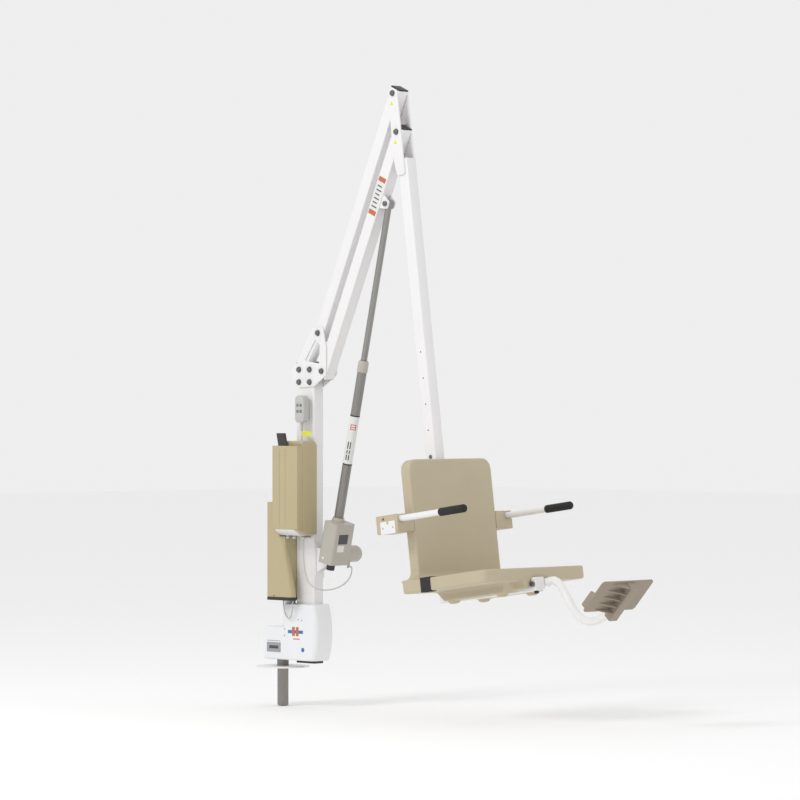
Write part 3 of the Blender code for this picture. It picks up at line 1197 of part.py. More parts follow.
# ---------------------------------------------------------------- handset
def make_handset(paint, slew, frame, button_frames):
    """A hanging handset with four push buttons, its hook on the mast and its cable."""
    x, y, z = HANDSET_AT
    width, depth, height = HANDSET_SIZE
    outline = rounded([
        (x - width / 2, z, 16 * MM),
        (x + width / 2, z, 16 * MM),
        (x + width / 2, z + height, 18 * MM),
        (x - width / 2, z + height, 18 * MM),
    ], 4)
    face = y - depth / 2
    back = y + depth / 2
    body = bevel(prism("handset", outline, "y", face, back, paint["handset"], frame), 3 * MM, angle=60)
    neck = turned("handset_neck", [(4.5 * MM, -HANDSET_NECK), (7.5 * MM, 4 * MM)], at=(x, y, z),
                  parent=frame, segments=16)
    weld(body, neck)
    tongue_top = z + 58 * MM
    pocket = box("handset_pocket", (x - 10 * MM, back - 6 * MM, z - 20 * MM),
                 (x + 10 * MM, back + MM, tongue_top), parent=frame)
    cut(body, pocket)
    for number, (dx, dz) in enumerate(((-9, 68), (9, 68), (-9, 44), (9, 44)), 1):
        place = (x + dx * MM, face, z + dz * MM)
        hole = cylinder(f"button_pocket_{number}", BUTTON_RADIUS + SLIDE_CLEARANCE, -MM, BUTTON_POCKET, "y",
                        place, parent=frame, segments=16)
        cut(body, hole)
        button_frame = button_frames[number - 1]
        button_frame.location = place
        button_top = BUTTON_POCKET - BUTTON_TRAVEL - GAP
        turned(f"handset_button_{number}", [(BUTTON_RADIUS - MM, -BUTTON_STANDS),
                                            (BUTTON_RADIUS, -BUTTON_STANDS + MM),
                                            (BUTTON_RADIUS, button_top)],
               "y", finish=paint["button"], parent=button_frame, segments=16)
    mast_face = -HALF_MAST - GAP
    plate = 3 * MM
    hook_plan = rectangle((x - 16 * MM, z - 4 * MM), (x + 16 * MM, z + height - 8 * MM), 5 * MM)
    hook = prism("handset_hook", hook_plan, "y", mast_face - plate, mast_face, paint["white"], slew)
    reach = back - 5 * MM
    arm = box("hook_arm", (x - 9 * MM, reach, z + 2 * MM), (x + 9 * MM, mast_face - MM, z + 8 * MM),
              parent=slew)
    tongue = box("hook_tongue", (x - 9 * MM, reach, z + 2 * MM),
                 (x + 9 * MM, reach + plate, tongue_top - GAP), parent=slew)
    weld(hook, arm, tongue)


# ---------------------------------------------------------------- cables
def make_cables(paint, slew):
    """Cables that both ends hold: tray to actuator, both ends of the motor lead, and the handset's."""
    out = gland_places()[2]
    gland_foot = TRAY_FOOT - GLAND_LENGTH - GAP
    lean = Matrix.Rotation(ACTUATOR_LEAN, 4, "Y")
    relief_x, relief_y, _ = cable_relief_at()
    entry = Vector((relief_x + RELIEF_RADIUS + 2 * GAP, relief_y, HOUSING_FOOT - 7 * MM))
    end = Vector((ACTUATOR_X, 0, ACTUATOR_Z)) + lean @ entry
    run_in = end + lean @ Vector((14 * MM, 0, -MM))
    to_actuator = [
        (out[0], out[1], gland_foot),
        (195 * MM, -73 * MM, 480 * MM),
        (197 * MM, -73 * MM, 432 * MM),
        (203 * MM, -71 * MM, 386 * MM),
        (218 * MM, -65 * MM, 346 * MM),
        (239 * MM, -51 * MM, 325 * MM),
        (263 * MM, -29 * MM, 316 * MM),
        (286 * MM, 4 * MM, 320 * MM),
        (306 * MM, 35 * MM, 335 * MM),
        (323 * MM, 51 * MM, 357 * MM),
        (331 * MM, 59 * MM, 381 * MM),
        tuple(run_in),
        tuple(end),
    ]
    rod_along("actuator_cable", smooth_route(to_actuator, 12 * MM), CABLE_RADIUS, paint["cable"], slew)
    strip_foot = MOTOR_COVER_FOOT - BASE_STRIP - GAP
    motor_loop = [
        (138 * MM, -77 * MM, strip_foot),
        (138 * MM, -77 * MM, strip_foot - 12 * MM),
        (133 * MM, -74 * MM, 242 * MM),
        (121 * MM, -68 * MM, 215 * MM),
        (104 * MM, -62 * MM, 200 * MM),
        (85 * MM, -60 * MM, 206 * MM),
        (74 * MM, -62 * MM, 230 * MM),
        (72 * MM, -65 * MM, strip_foot - 14 * MM),
        (72 * MM, -65 * MM, strip_foot),
    ]
    rod_along("motor_cable", smooth_route(motor_loop, 12 * MM), CABLE_RADIUS, paint["cable"], slew)
    x, y, z = HANDSET_AT
    neck_foot = z - HANDSET_NECK - GAP
    lead = [
        (x, y, neck_foot),
        (x + 1 * MM, y, neck_foot - 13 * MM),
        (x, y, neck_foot - 26 * MM),
        (x, y, CONTROL_CROWN + GAP),
    ]
    rod_along("handset_cable", smooth_route(lead, 8 * MM), CABLE_RADIUS, paint["cable"], slew)


# ---------------------------------------------------------------- the whole lift
def palette():
    return {
        "white": material("white_powder_coat", (0.86, 0.86, 0.87), 0.35),
        "cover": material("white_moulding", (0.84, 0.85, 0.87), 0.4),
        "post": material("anchor_steel", (0.27, 0.25, 0.23), 0.45, 0.8),
        "steel": material("machined_steel", (0.45, 0.45, 0.46), 0.35, 1.0),
        "bronze": material("bush_bronze", (0.45, 0.30, 0.12), 0.4, 1.0),
        "bolt": material("stainless_bolt", (0.32, 0.32, 0.32), 0.35, 1.0),
        "black": material("black_plug", (0.03, 0.027, 0.027), 0.5),
        "motor": material("motor_paint", (0.5, 0.5, 0.5), 0.45),
        "tan": material("tan_cover", (0.45, 0.38, 0.24), 0.5),
        "seat": material("tan_seat", (0.47, 0.40, 0.28), 0.55),
        "beige": material("beige_housing", (0.45, 0.41, 0.35), 0.5),
        "grey": material("grey_tube", (0.25, 0.24, 0.23), 0.4, 0.6),
        "rod": material("polished_rod", (0.35, 0.34, 0.33), 0.3, 0.9),
        "battery": material("battery_case", (0.05, 0.045, 0.05), 0.5),
        "handset": material("handset_case", (0.55, 0.55, 0.53), 0.45),
        "button": material("button_rubber", (0.25, 0.26, 0.28), 0.6),
        "cable": material("cable_jacket", (0.5, 0.5, 0.47), 0.5),
        "webbing": material("black_webbing", (0.02, 0.02, 0.02), 0.8),
        "foam": material("foam_grip", (0.02, 0.02, 0.02), 0.9),
        "footplate": material("footplate_moulding", (0.2, 0.15, 0.12), 0.6),
    }


def build():
    clear_scene()
    paint = palette()
    slew = joint_frame("slew_axis", 0, 0, 0)
    pinion = joint_frame("pinion_axis", PINION_X, PINION_Y, 0, parent=slew)
    battery = joint_frame("battery_guide", 0, 0, 0, parent=slew)
    handset = joint_frame("handset_guide", 0, 0, 0, parent=slew)
    buttons = [joint_frame(f"button_guide_{n}", 0, 0, 0, parent=handset) for n in range(1, 5)]
    lower = joint_frame("lower_arm_axis", ARM_PIVOT_X, 0, ARM_PIVOT_Z, ARM_LEAN, slew)
    upper = joint_frame("upper_arm_axis", UPPER_PIVOT_X, 0, UPPER_PIVOT_Z, ARM_LEAN, slew)
    hanger = joint_frame("hanger_axis", TOP_PIVOT_X, 0, TOP_PIVOT_Z, -PIVOT_TILT, slew)
    actuator = joint_frame("actuator_axis", ACTUATOR_X, 0, ACTUATOR_Z, ACTUATOR_LEAN, slew)
    rod = joint_frame("rod_axis", LUG_X, 0, LUG_Z, ACTUATOR_LEAN, slew)
    footrest = joint_frame("footrest_axis", FOOTREST_PIVOT[0], 0, FOOTREST_PIVOT[1], parent=hanger)

    make_anchor(paint)
    make_slewing_gears(paint, slew, pinion)
    make_mast(paint, slew)
    shelf_top = make_weldment(paint, slew)
    make_base_cover(paint, slew)
    make_slewing_motor(paint, slew, shelf_top)
    make_motor_cover(paint, slew)
    make_control_unit(paint, slew, battery)
    make_gussets(paint, slew)
    lower_tube = make_arm("lower_arm", lower, paint)
    make_arm("upper_arm", upper, paint)
    lug_outside = make_actuator_lugs(lower_tube, lower)
    through_bolt("actuator_top_pin", lug_outside, ACTUATOR_LUG_DROP, LUG_ALONG, paint["bolt"], lower)
    make_actuator_bracket(paint, slew)
    make_actuator_body(paint, actuator)
    make_actuator_rod(paint, rod)
    make_hanger(paint, hanger)
    make_seat(paint, hanger)
    make_strap(paint, hanger)
    for side, word in ((-1, "right"), (1, "left")):
        axis = joint_frame(f"armrest_axis_{word}", ARMREST_PIVOT, side * ARMREST_AXIS, ARMREST_HEIGHT,
                           parent=hanger)
        make_armrest(side, word, paint, hanger, axis)
    make_footrest(paint, hanger, footrest)
    make_handset(paint, slew, handset, buttons)
    make_cables(paint, slew)


build()
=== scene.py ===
# %% [markdown]
# # A pool lift, finished for the eye
# The engineering model already holds every tube, pin and gear in its true place. This lesson
# dresses it: it rounds the edges that a real mould or a bent tube would have, adds the small trim
# that no simulation needs, and gives each piece a finish. We start by loading the frame.

import json
import math

import bpy
from mathutils import Matrix, Vector

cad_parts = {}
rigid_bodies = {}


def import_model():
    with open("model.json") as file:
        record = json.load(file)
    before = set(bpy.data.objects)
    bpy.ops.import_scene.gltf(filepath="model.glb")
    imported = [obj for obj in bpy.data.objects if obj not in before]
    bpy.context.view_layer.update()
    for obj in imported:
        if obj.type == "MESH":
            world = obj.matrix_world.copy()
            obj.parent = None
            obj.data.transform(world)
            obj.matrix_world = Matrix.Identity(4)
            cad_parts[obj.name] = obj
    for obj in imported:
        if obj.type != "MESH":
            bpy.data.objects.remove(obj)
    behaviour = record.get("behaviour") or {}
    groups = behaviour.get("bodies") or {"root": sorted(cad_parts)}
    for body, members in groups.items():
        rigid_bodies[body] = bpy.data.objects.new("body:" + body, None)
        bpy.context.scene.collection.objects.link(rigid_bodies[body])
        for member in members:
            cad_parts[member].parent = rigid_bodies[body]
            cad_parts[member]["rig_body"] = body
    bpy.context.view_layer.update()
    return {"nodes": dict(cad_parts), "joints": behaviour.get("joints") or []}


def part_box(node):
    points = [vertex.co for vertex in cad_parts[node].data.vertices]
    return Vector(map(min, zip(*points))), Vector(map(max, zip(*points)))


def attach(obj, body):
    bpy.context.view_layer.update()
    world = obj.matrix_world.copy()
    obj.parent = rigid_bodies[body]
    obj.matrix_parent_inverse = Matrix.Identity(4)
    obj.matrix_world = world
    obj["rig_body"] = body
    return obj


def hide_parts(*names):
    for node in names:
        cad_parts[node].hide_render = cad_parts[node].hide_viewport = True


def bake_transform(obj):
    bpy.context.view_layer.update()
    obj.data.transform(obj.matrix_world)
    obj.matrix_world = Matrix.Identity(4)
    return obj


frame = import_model()
nodes = frame["nodes"]
joints = {joint["name"]: joint for joint in frame["joints"]}
MM = 0.001
print("pieces in the frame:", len(nodes))

# %% [markdown]
# A product is usually seen from far away through a long lens, so that upright things stay
# upright and near and far ends keep about the same size. A level camera turned 45 degrees shows the
# control side and the seat's front at once.

# %% Camera
bpy.ops.object.camera_add(location=(11.826, -11.164, 1.067), rotation=(math.radians(90), 0, math.radians(45)))
camera = bpy.context.object
camera.name = "product_camera"
camera.data.lens = 182.9
camera.data.sensor_width = 36
camera.data.clip_end = 60
bpy.context.scene.camera = camera
print("camera stands", round(camera.location.length, 2), "m away")

# %% [markdown]
# Cables first, because their routes were settled with the engineering model. A real cable hangs in
# one smooth sweep, so a few listed points are joined by a Catmull-Rom curve, which passes
# through every one of them without corners. A bevelled curve then becomes a tube.


# %% Smooth routes and cable tubes
def deselect():
    if bpy.context.object and bpy.context.object.mode != "OBJECT":
        bpy.ops.object.mode_set(mode="OBJECT")
    bpy.ops.object.select_all(action="DESELECT")


def hold(obj):
    deselect()
    obj.select_set(True)
    bpy.context.view_layer.objects.active = obj
    return obj


def smooth_route(points, spacing):
    route = [Vector(p) for p in points]
    route = [2 * route[0] - route[1]] + route + [2 * route[-1] - route[-2]]
    result = []
    for before, start, end, after in zip(route, route[1:], route[2:], route[3:]):
        steps = max(1, round((end - start).length / spacing))
        for step in range(steps):
            t = step / steps
            bend = (2 * before - 5 * start + 4 * end - after) * t * t
            twist = (3 * start - before - 3 * end + after) * t**3
            result.append(start + ((end - before) * t + bend + twist) / 2)
    result.append(route[-2])
    return result


def cable_tube(name, points, radius, resolution=4):
    curve = bpy.data.curves.new(name, "CURVE")
    curve.dimensions = "3D"
    curve.bevel_depth = radius
    curve.bevel_resolution = resolution
    curve.use_fill_caps = True
    spline = curve.splines.new("POLY")
    spline.points.add(len(points) - 1)
    for place, point in zip(spline.points, points):
        place.co = (*point, 1)
    obj = bpy.data.objects.new(name, curve)
    bpy.context.scene.collection.objects.link(obj)
    hold(obj)
    bpy.ops.object.convert(target="MESH")
    bpy.ops.object.shade_smooth()
    return bpy.context.object


arm_pivot = Vector(joints["arm_lift"]["pos_m"])
upper_pivot = Vector(joints["upper_arm_swing"]["pos_m"])
top_pivot = Vector(joints["hanger_level"]["pos_m"])
actuator_foot = Vector(joints["actuator_tilt"]["pos_m"])
actuator_head = Vector(joints["rod_tilt"]["pos_m"])
along_actuator = actuator_head - actuator_foot
actuator_lean = math.atan2(along_actuator.x, along_actuator.z)
actuator_place = Matrix.Translation(actuator_foot) @ Matrix.Rotation(actuator_lean, 4, "Y")
hanger_place = Matrix.Translation(top_pivot) @ Matrix.Rotation(math.radians(-7.73), 4, "Y")
relief = actuator_place @ Vector((41.6 * MM, 60 * MM, -27 * MM))
run_in = actuator_place @ Vector((55.6 * MM, 60 * MM, -28 * MM))
print("actuator is", round(along_actuator.length, 3), "m between pins")

# %% The three cables
CABLE = 2.6 * MM
cable_routes = {
    "actuator_cable": [
        (0.194, -0.073, 0.5187), (0.195, -0.073, 0.48), (0.197, -0.073, 0.432), (0.203, -0.071, 0.386),
        (0.218, -0.065, 0.346), (0.239, -0.051, 0.325), (0.263, -0.029, 0.316), (0.286, 0.004, 0.32),
        (0.306, 0.035, 0.335), (0.323, 0.051, 0.357), (0.331, 0.059, 0.381), run_in, relief,
    ],
    "motor_cable": [
        (0.138, -0.077, 0.2717), (0.138, -0.077, 0.2597), (0.133, -0.074, 0.242), (0.121, -0.068, 0.215),
        (0.104, -0.062, 0.2), (0.085, -0.06, 0.206), (0.074, -0.062, 0.23), (0.072, -0.065, 0.2577),
        (0.072, -0.065, 0.2717),
    ],
    "handset_cable": [
        (0.173, -0.0605, 0.9437), (0.174, -0.0605, 0.9307), (0.173, -0.0605, 0.9177),
        (0.173, -0.0605, 0.9053),
    ],
}
cables = {}
for name, points in cable_routes.items():
    path = smooth_route(points, 6 * MM)
    tube = cable_tube(f"{name}_jacket", path, CABLE)
    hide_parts(name)
    cables[name] = tube
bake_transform(cables["actuator_cable"])
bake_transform(cables["handset_cable"])
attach(cables["motor_cable"], "mast")
print("cables made:", sorted(cables))

# %% [markdown]
# Most of the lift is white powder coat over steel: a baked plastic skin with a very fine orange
# peel. Noise through a Bump node gives that peel without any real geometry, and a little noise in
# the colour keeps large flat faces from looking computed. The same recipe, with other numbers,
# makes moulded plastic, rubber and cast covers, so it is written once as a helper.


# %% Finishes made from fine noise
def finish(name, colour, roughness, grain=400.0, depth=0.02, metallic=0.0, mottle=0.03, coat=0.0):
    made = bpy.data.materials.new(name)
    made.use_nodes = True
    tree = made.node_tree
    shader = tree.nodes["Principled BSDF"]
    shader.inputs["Roughness"].default_value = roughness
    shader.inputs["Metallic"].default_value = metallic
    shader.inputs["Coat Weight"].default_value = coat
    place = tree.nodes.new("ShaderNodeTexCoord")
    peel = tree.nodes.new("ShaderNodeTexNoise")
    peel.inputs["Scale"].default_value = grain
    peel.inputs["Detail"].default_value = 3
    bump = tree.nodes.new("ShaderNodeBump")
    bump.inputs["Strength"].default_value = depth * 10
    bump.inputs["Distance"].default_value = 0.0004
    cloud = tree.nodes.new("ShaderNodeTexNoise")
    cloud.inputs["Scale"].default_value = 7
    tint = tree.nodes.new("ShaderNodeMix")
    tint.data_type = "RGBA"
    tint.inputs[6].default_value = (*[c * (1 - mottle) for c in colour], 1)
    tint.inputs[7].default_value = (*[min(1, c * (1 + mottle)) for c in colour], 1)
    tree.links.new(place.outputs["Object"], peel.inputs["Vector"])
    tree.links.new(place.outputs["Object"], cloud.inputs["Vector"])
    tree.links.new(peel.outputs["Fac"], bump.inputs["Height"])
    tree.links.new(bump.outputs["Normal"], shader.inputs["Normal"])
    tree.links.new(cloud.outputs["Fac"], tint.inputs[0])
    tree.links.new(tint.outputs[2], shader.inputs["Base Color"])
    return made


powder_coat = finish("white_powder_coat", (0.80, 0.79, 0.79), 0.36, 700, 0.012, coat=0.15)
white_moulding = finish("white_moulded_cover", (0.80, 0.81, 0.82), 0.34, 300, 0.01, coat=0.2)
tan_seat = finish("tan_moulded_seat", (0.50, 0.43, 0.30), 0.42, 420, 0.05, mottle=0.04)
tan_cover = finish("tan_cover", (0.47, 0.395, 0.235), 0.5, 520, 0.04, mottle=0.03)
beige_moulding = finish("beige_actuator_moulding", (0.45, 0.42, 0.37), 0.45, 500, 0.03)
grey_tube = finish("grey_anodised_tube", (0.26, 0.25, 0.235), 0.4, 200, 0.01, metallic=0.55)
ground_rod = finish("ground_rod", (0.30, 0.29, 0.28), 0.28, 900, 0.01, metallic=0.85)
post_steel = finish("turned_post_steel", (0.27, 0.25, 0.23), 0.42, 500, 0.03, metallic=0.6)
machined = finish("machined_steel", (0.45, 0.45, 0.46), 0.33, 600, 0.02, metallic=1.0)
stainless = finish("stainless_bolts", (0.16, 0.16, 0.165), 0.36, 500, 0.02, metallic=0.7)
bronze = finish("bush_bronze", (0.45, 0.30, 0.12), 0.4, 500, 0.02, metallic=1.0)
black_plastic = finish("black_plugs", (0.022, 0.02, 0.02), 0.45, 500, 0.03)
battery_black = finish("battery_case", (0.035, 0.03, 0.032), 0.42, 500, 0.03)
foam = finish("black_foam", (0.016, 0.016, 0.016), 0.85, 900, 0.09)
handset_grey = finish("handset_grey", (0.50, 0.50, 0.48), 0.42, 500, 0.02)
key_rubber = finish("key_rubber", (0.18, 0.19, 0.21), 0.6, 500, 0.02)
gland_grey = finish("gland_grey", (0.33, 0.33, 0.34), 0.5, 500, 0.02)
cable_skin = finish("cable_jacket", (0.52, 0.52, 0.48), 0.5, 500, 0.01)
foot_moulding = finish("footplate_moulding", (0.30, 0.25, 0.19), 0.5, 420, 0.05)
label_paper = finish("label_paper", (0.72, 0.72, 0.70), 0.4, 300, 0.0)
label_dark = finish("label_dark", (0.06, 0.06, 0.07), 0.4, 300, 0.0)
label_orange = finish("label_orange", (0.50, 0.15, 0.06), 0.4, 300, 0.0)
label_yellow = finish("label_yellow", (0.72, 0.74, 0.04), 0.4, 300, 0.0)
label_blue = finish("label_blue", (0.05, 0.16, 0.42), 0.4, 300, 0.0)
label_red = finish("label_red", (0.55, 0.04, 0.04), 0.4, 300, 0.0)
print("finishes made:", len(bpy.data.materials))

# %% [markdown]
# Steel tube never has knife edges: its corners are rolled to a radius, and plates are deburred. The
# engineering pieces are exact but sharp, so a copy of each is merged into whole faces and its edges
# are bevelled. A live Bevel would do for one piece; here it is applied, so every copy is a plain mesh.


# %% Softening the engineering pieces
def paint(obj, material):
    obj.data.materials.clear()
    obj.data.materials.append(material)
    return obj


def whole_copy(node, name):
    copy = bpy.data.objects.new(name, nodes[node].data.copy())
    bpy.context.scene.collection.objects.link(copy)
    hold(copy)
    bpy.ops.object.mode_set(mode="EDIT")
    bpy.ops.mesh.select_all(action="SELECT")
    bpy.ops.mesh.remove_doubles(threshold=0.00002)
    bpy.ops.mesh.dissolve_limited(angle_limit=math.radians(0.6))
    bpy.ops.object.mode_set(mode="OBJECT")
    return copy


def apply_modifier(obj, kind, **settings):
    hold(obj)
    modifier = obj.modifiers.new(kind.lower(), kind)
    for key, value in settings.items():
        setattr(modifier, key, value)
    bpy.ops.object.modifier_apply(modifier=modifier.name)
    return obj


def soften(obj, width, segments=2, angle=40):
    apply_modifier(obj, "BEVEL", width=width, segments=segments, limit_method="ANGLE",
                   angle_limit=math.radians(angle), harden_normals=False)
    hold(obj)
    bpy.ops.object.shade_smooth_by_angle(angle=math.radians(32))
    return obj


def pick_edges(obj, wanted):
    """Edit mode with only the wanted edges selected; wanted gets both ends of an edge."""
    hold(obj)
    bpy.ops.object.mode_set(mode="EDIT")
    bpy.ops.mesh.select_mode(type="EDGE")
    bpy.ops.mesh.select_all(action="DESELECT")
    bpy.ops.object.mode_set(mode="OBJECT")
    places = obj.data.vertices
    chosen = 0
    for edge in obj.data.edges:
        edge.select = wanted(places[edge.vertices[0]].co, places[edge.vertices[1]].co)
        chosen += edge.select
    bpy.ops.object.mode_set(mode="EDIT")
    return chosen


def round_edges(obj, wanted, radius, segments=4):
    if pick_edges(obj, wanted):
        bpy.ops.mesh.bevel(offset=radius, segments=segments, affect="EDGES")
    bpy.ops.object.mode_set(mode="OBJECT")
    bpy.ops.object.shade_smooth_by_angle(angle=math.radians(32))
    return obj


def stand_for(obj, node):
    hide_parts(node)
    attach(obj, nodes[node]["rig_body"])
    return obj


white_plates = {"gusset_right": 1.2, "gusset_left": 1.2, "hanger_plate_right": 1.2, "hanger_plate_left": 1.2,
                "actuator_bracket": 1.0, "deck_flange": 1.0, "base_weldment": 0.8, "handset_hook": 0.6,
                "control_box": 1.0}
for name, width in white_plates.items():
    stand_for(paint(soften(whole_copy(name, f"{name}_plate"), width * MM), powder_coat), name)
plain = {
    "anchor_post": (post_steel, 0.6),
    "fixed_gear": (machined, 0.25),
    "drive_pinion": (machined, 0.25),
    "bearing_bush": (bronze, 0.3),
    "slewing_motor": (white_moulding, 1.5),
    "mast_end_plug": (black_plastic, 1.2),
    "lower_arm_end_plug": (black_plastic, 1.5),
    "upper_arm_end_plug": (black_plastic, 1.5),
    "actuator_tube": (grey_tube, 0.4),
    "actuator_nose": (beige_moulding, 1.2),
    "actuator_spindle": (machined, 0.3),
    "actuator_rod": (ground_rod, 0.4),
    "motor_cover_base": (black_plastic, 2.0),
    "footrest_pin": (stainless, 0.5),
    "actuator_base_pin": (label_paper, 0.8),
}
bolts = [
    "mast_bolt_1", "mast_bolt_2", "mast_bolt_3", "mast_bolt_4", "lower_arm_base_pin",
    "upper_arm_base_pin", "lower_arm_top_pin", "upper_arm_top_pin", "actuator_top_pin",
]
plain.update({name: (stainless, 0.5) for name in bolts})
for name, (material, width) in plain.items():
    stand_for(paint(soften(whole_copy(name, f"{name}_finished"), width * MM), material), name)
print("softened", len(white_plates) + len(plain), "pieces")

# %% [markdown]
# The four big tubes get a rolled corner of three millimetres, but only along their length. A Bevel
# by angle would also catch the bolt holes, so the long edges are picked in code by how far apart
# their two ends are, and bevelled in edit mode.


# %% Rolled corners on the long tubes
def roll_corners(obj, radius):
    """Bevels the sharp edges that run a long way, and no flat or short one."""
    hold(obj)
    bpy.ops.object.mode_set(mode="EDIT")
    bpy.ops.mesh.select_mode(type="EDGE")
    bpy.ops.mesh.select_all(action="DESELECT")
    bpy.ops.mesh.edges_select_sharp(sharpness=math.radians(40))
    bpy.ops.object.mode_set(mode="OBJECT")
    places = obj.data.vertices
    sharp = [edge.index for edge in obj.data.edges if edge.select
             and (places[edge.vertices[0]].co - places[edge.vertices[1]].co).length > 0.04]
    for group in (obj.data.vertices, obj.data.edges, obj.data.polygons):
        group.foreach_set("select", [False] * len(group))
    for index in sharp:
        obj.data.edges[index].select = True
        for corner in obj.data.edges[index].vertices:
            places[corner].select = True
    bpy.ops.object.mode_set(mode="EDIT")
    bpy.ops.mesh.bevel(offset=radius, segments=3, affect="EDGES")
    bpy.ops.object.mode_set(mode="OBJECT")
    bpy.ops.object.shade_smooth_by_angle(angle=math.radians(32))
    return obj


for name in ("mast_tube", "lower_arm_tube", "upper_arm_tube", "hanger_tube"):
    tube = roll_corners(whole_copy(name, f"{name}_rolled"), 3 * MM)
    stand_for(paint(tube, powder_coat), name)
print("tubes rolled")

# %% [markdown]
# A washer under each bolt head spreads its load on the plate. One is turned from a short cylinder
# and copied to every bolt on the control side.

# %% Washers and small screws
def bar(name, radius, start, end, sides=32):
    """A cylinder from start to end, with its place in its mesh."""
    start, end = Vector(start), Vector(end)
    deselect()
    turn = (end - start).to_track_quat("Z", "Y").to_euler()
    bpy.ops.mesh.primitive_cylinder_add(vertices=sides, radius=radius, depth=(end - start).length,
                                        location=(start + end) / 2, rotation=turn)
    obj = bpy.context.object
    obj.name = name
    bpy.ops.object.transform_apply(location=True, rotation=True, scale=True)
    return obj


def block(name, low, high):
    """A box between two corners, with its place in its mesh."""
    low, high = Vector(low), Vector(high)
    deselect()
    bpy.ops.mesh.primitive_cube_add(size=1, location=(low + high) / 2, scale=high - low)
    obj = bpy.context.object
    obj.name = name
    bpy.ops.object.transform_apply(location=True, rotation=True, scale=True)
    return obj


def moved(obj, matrix):
    obj.data.transform(matrix)
    return obj


PLATE_FACE = -31.7 * MM
for name in bolts[:-1]:
    low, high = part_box(name)
    x, z = (low.x + high.x) / 2, (low.z + high.z) / 2
    washer = bar(f"{name}_washer", 12 * MM, (x, PLATE_FACE - 0.1 * MM, z), (x, PLATE_FACE - 1.8 * MM, z))
    soften(washer, 0.4 * MM)
    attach(paint(washer, stainless), nodes[name]["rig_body"])


def dome_screw(name, place, direction, radius, body, material=None):
    place, direction = Vector(place), Vector(direction).normalized()
    screw = bar(name, radius, place - direction * 0.5 * MM, place + direction * radius * 0.45, 24)
    soften(screw, radius * 0.35, 3)
    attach(paint(screw, material or stainless), body)
    return screw


seat_bolt = hanger_place @ Vector((10.8 * MM, -25.6 * MM, -1272 * MM))
dome_screw("seat_bolt_head", seat_bolt, (0, -1, 0), 8 * MM, "hanger")
print("washers and the seat bolt are on")

# %% [markdown]
# The base cover is one white moulding with a bowed nose and a broad round along its sides. It is
# drawn as a side outline, made from a circle whose corners are moved onto the outline, then
# extruded to the cover's width. The sides are rounded and the sharp edges softened.


# %% Outlines drawn from listed points
def outline_plate(name, outline, plane, low, high):
    """A circle with one corner per outline point, moved onto the outline and extruded."""
    deselect()
    bpy.ops.mesh.primitive_circle_add(vertices=len(outline), radius=1, fill_type="NGON")
    obj = bpy.context.object
    obj.name = name
    places = {"y": lambda a, b: (a, low, b), "x": lambda a, b: (low, a, b), "z": lambda a, b: (a, b, low)}
    for vertex, (a, b) in zip(obj.data.vertices, outline):
        vertex.co = places[plane](a, b)
    step = {"y": (0, high - low, 0), "x": (high - low, 0, 0), "z": (0, 0, high - low)}[plane]
    bpy.ops.object.mode_set(mode="EDIT")
    bpy.ops.mesh.select_all(action="SELECT")
    bpy.ops.mesh.extrude_region_move(TRANSFORM_OT_translate={"value": step})
    bpy.ops.mesh.select_all(action="SELECT")
    bpy.ops.mesh.normals_make_consistent(inside=False)
    bpy.ops.object.mode_set(mode="OBJECT")
    return obj


# %% Base cover
nose = []
for step in range(15):
    height = 0.258 - 0.225 * step / 14
    share = abs(height - 0.1455) / 0.1125
    nose.append((0.2066 + 0.019 + 0.019 * (1 - share**2), height))
cover_outline = [(-0.058, 0.033), (-0.058, 0.164), (0.060, 0.164), (0.060, 0.258)] + nose
base_cover = outline_plate("base_cover_moulding", cover_outline, "y", -0.05, 0.05)
round_edges(base_cover, lambda a, b: a.y * b.y > 0 and min(a.x, b.x) > 0.2 and max(a.z, b.z) < 0.259
            and (a - b).length < 0.02, 20 * MM, 6)
soften(base_cover, 5 * MM, 4, 50)
stand_for(paint(base_cover, white_moulding), "base_cover")
print("base cover:", len(base_cover.data.polygons), "faces")

# %% [markdown]
# The motor cover is three moulded volumes that run into each other: a slanted outer panel, the
# body beside the mast and a wing behind it. Each starts as an outline or a box with its own
# rounded edges, and they are joined into one piece.


# %% Motor cover
def joined(name, pieces):
    hold(pieces[0])
    for piece in pieces[1:]:
        piece.select_set(True)
    bpy.ops.object.join()
    bpy.context.object.name = name
    return bpy.context.object


panel = outline_plate("motor_cover_panel", [(0.01, 0.2843), (0.152, 0.2843), (0.097, 0.526), (0.079, 0.5265),
                                            (0.079, 0.661), (0.01, 0.661)], "y", -0.096, -0.07)
round_edges(panel, lambda a, b: max(a.y, b.y) < -0.095 and min(a.x, b.x) > 0.09, 15 * MM, 6)
soften(panel, 4 * MM, 3)
body = soften(block("motor_cover_body", (0.013, -0.09, 0.2843), (0.106, -0.0257, 0.526)), 3 * MM, 3)
wing = soften(block("motor_cover_wing", (0.01, -0.0958, 0.2845), (0.08, 0.0254, 0.661)), 5 * MM, 3)
tail = soften(block("motor_cover_tail", (0.02, -0.03, 0.2845), (0.1047, 0.0252, 0.526)), 2 * MM, 2)
motor_cover = joined("motor_cover_moulding", [panel, body, wing, tail])
stand_for(paint(motor_cover, tan_cover), "motor_cover")
bpy.ops.object.shade_smooth_by_angle(angle=math.radians(32))
dome_screw("motor_cover_screw", (0.05, -0.096, 0.29), (0, -1, 0), 3 * MM, "mast", label_dark)
print("motor cover joined")

# %% [markdown]
# The control unit has a flat lid, a battery slot and a taller domed box behind it. Two thin grooves
# run down the lid. They are cut with boxes, because a cut shows a real shadow from every side where
# a painted line would not.


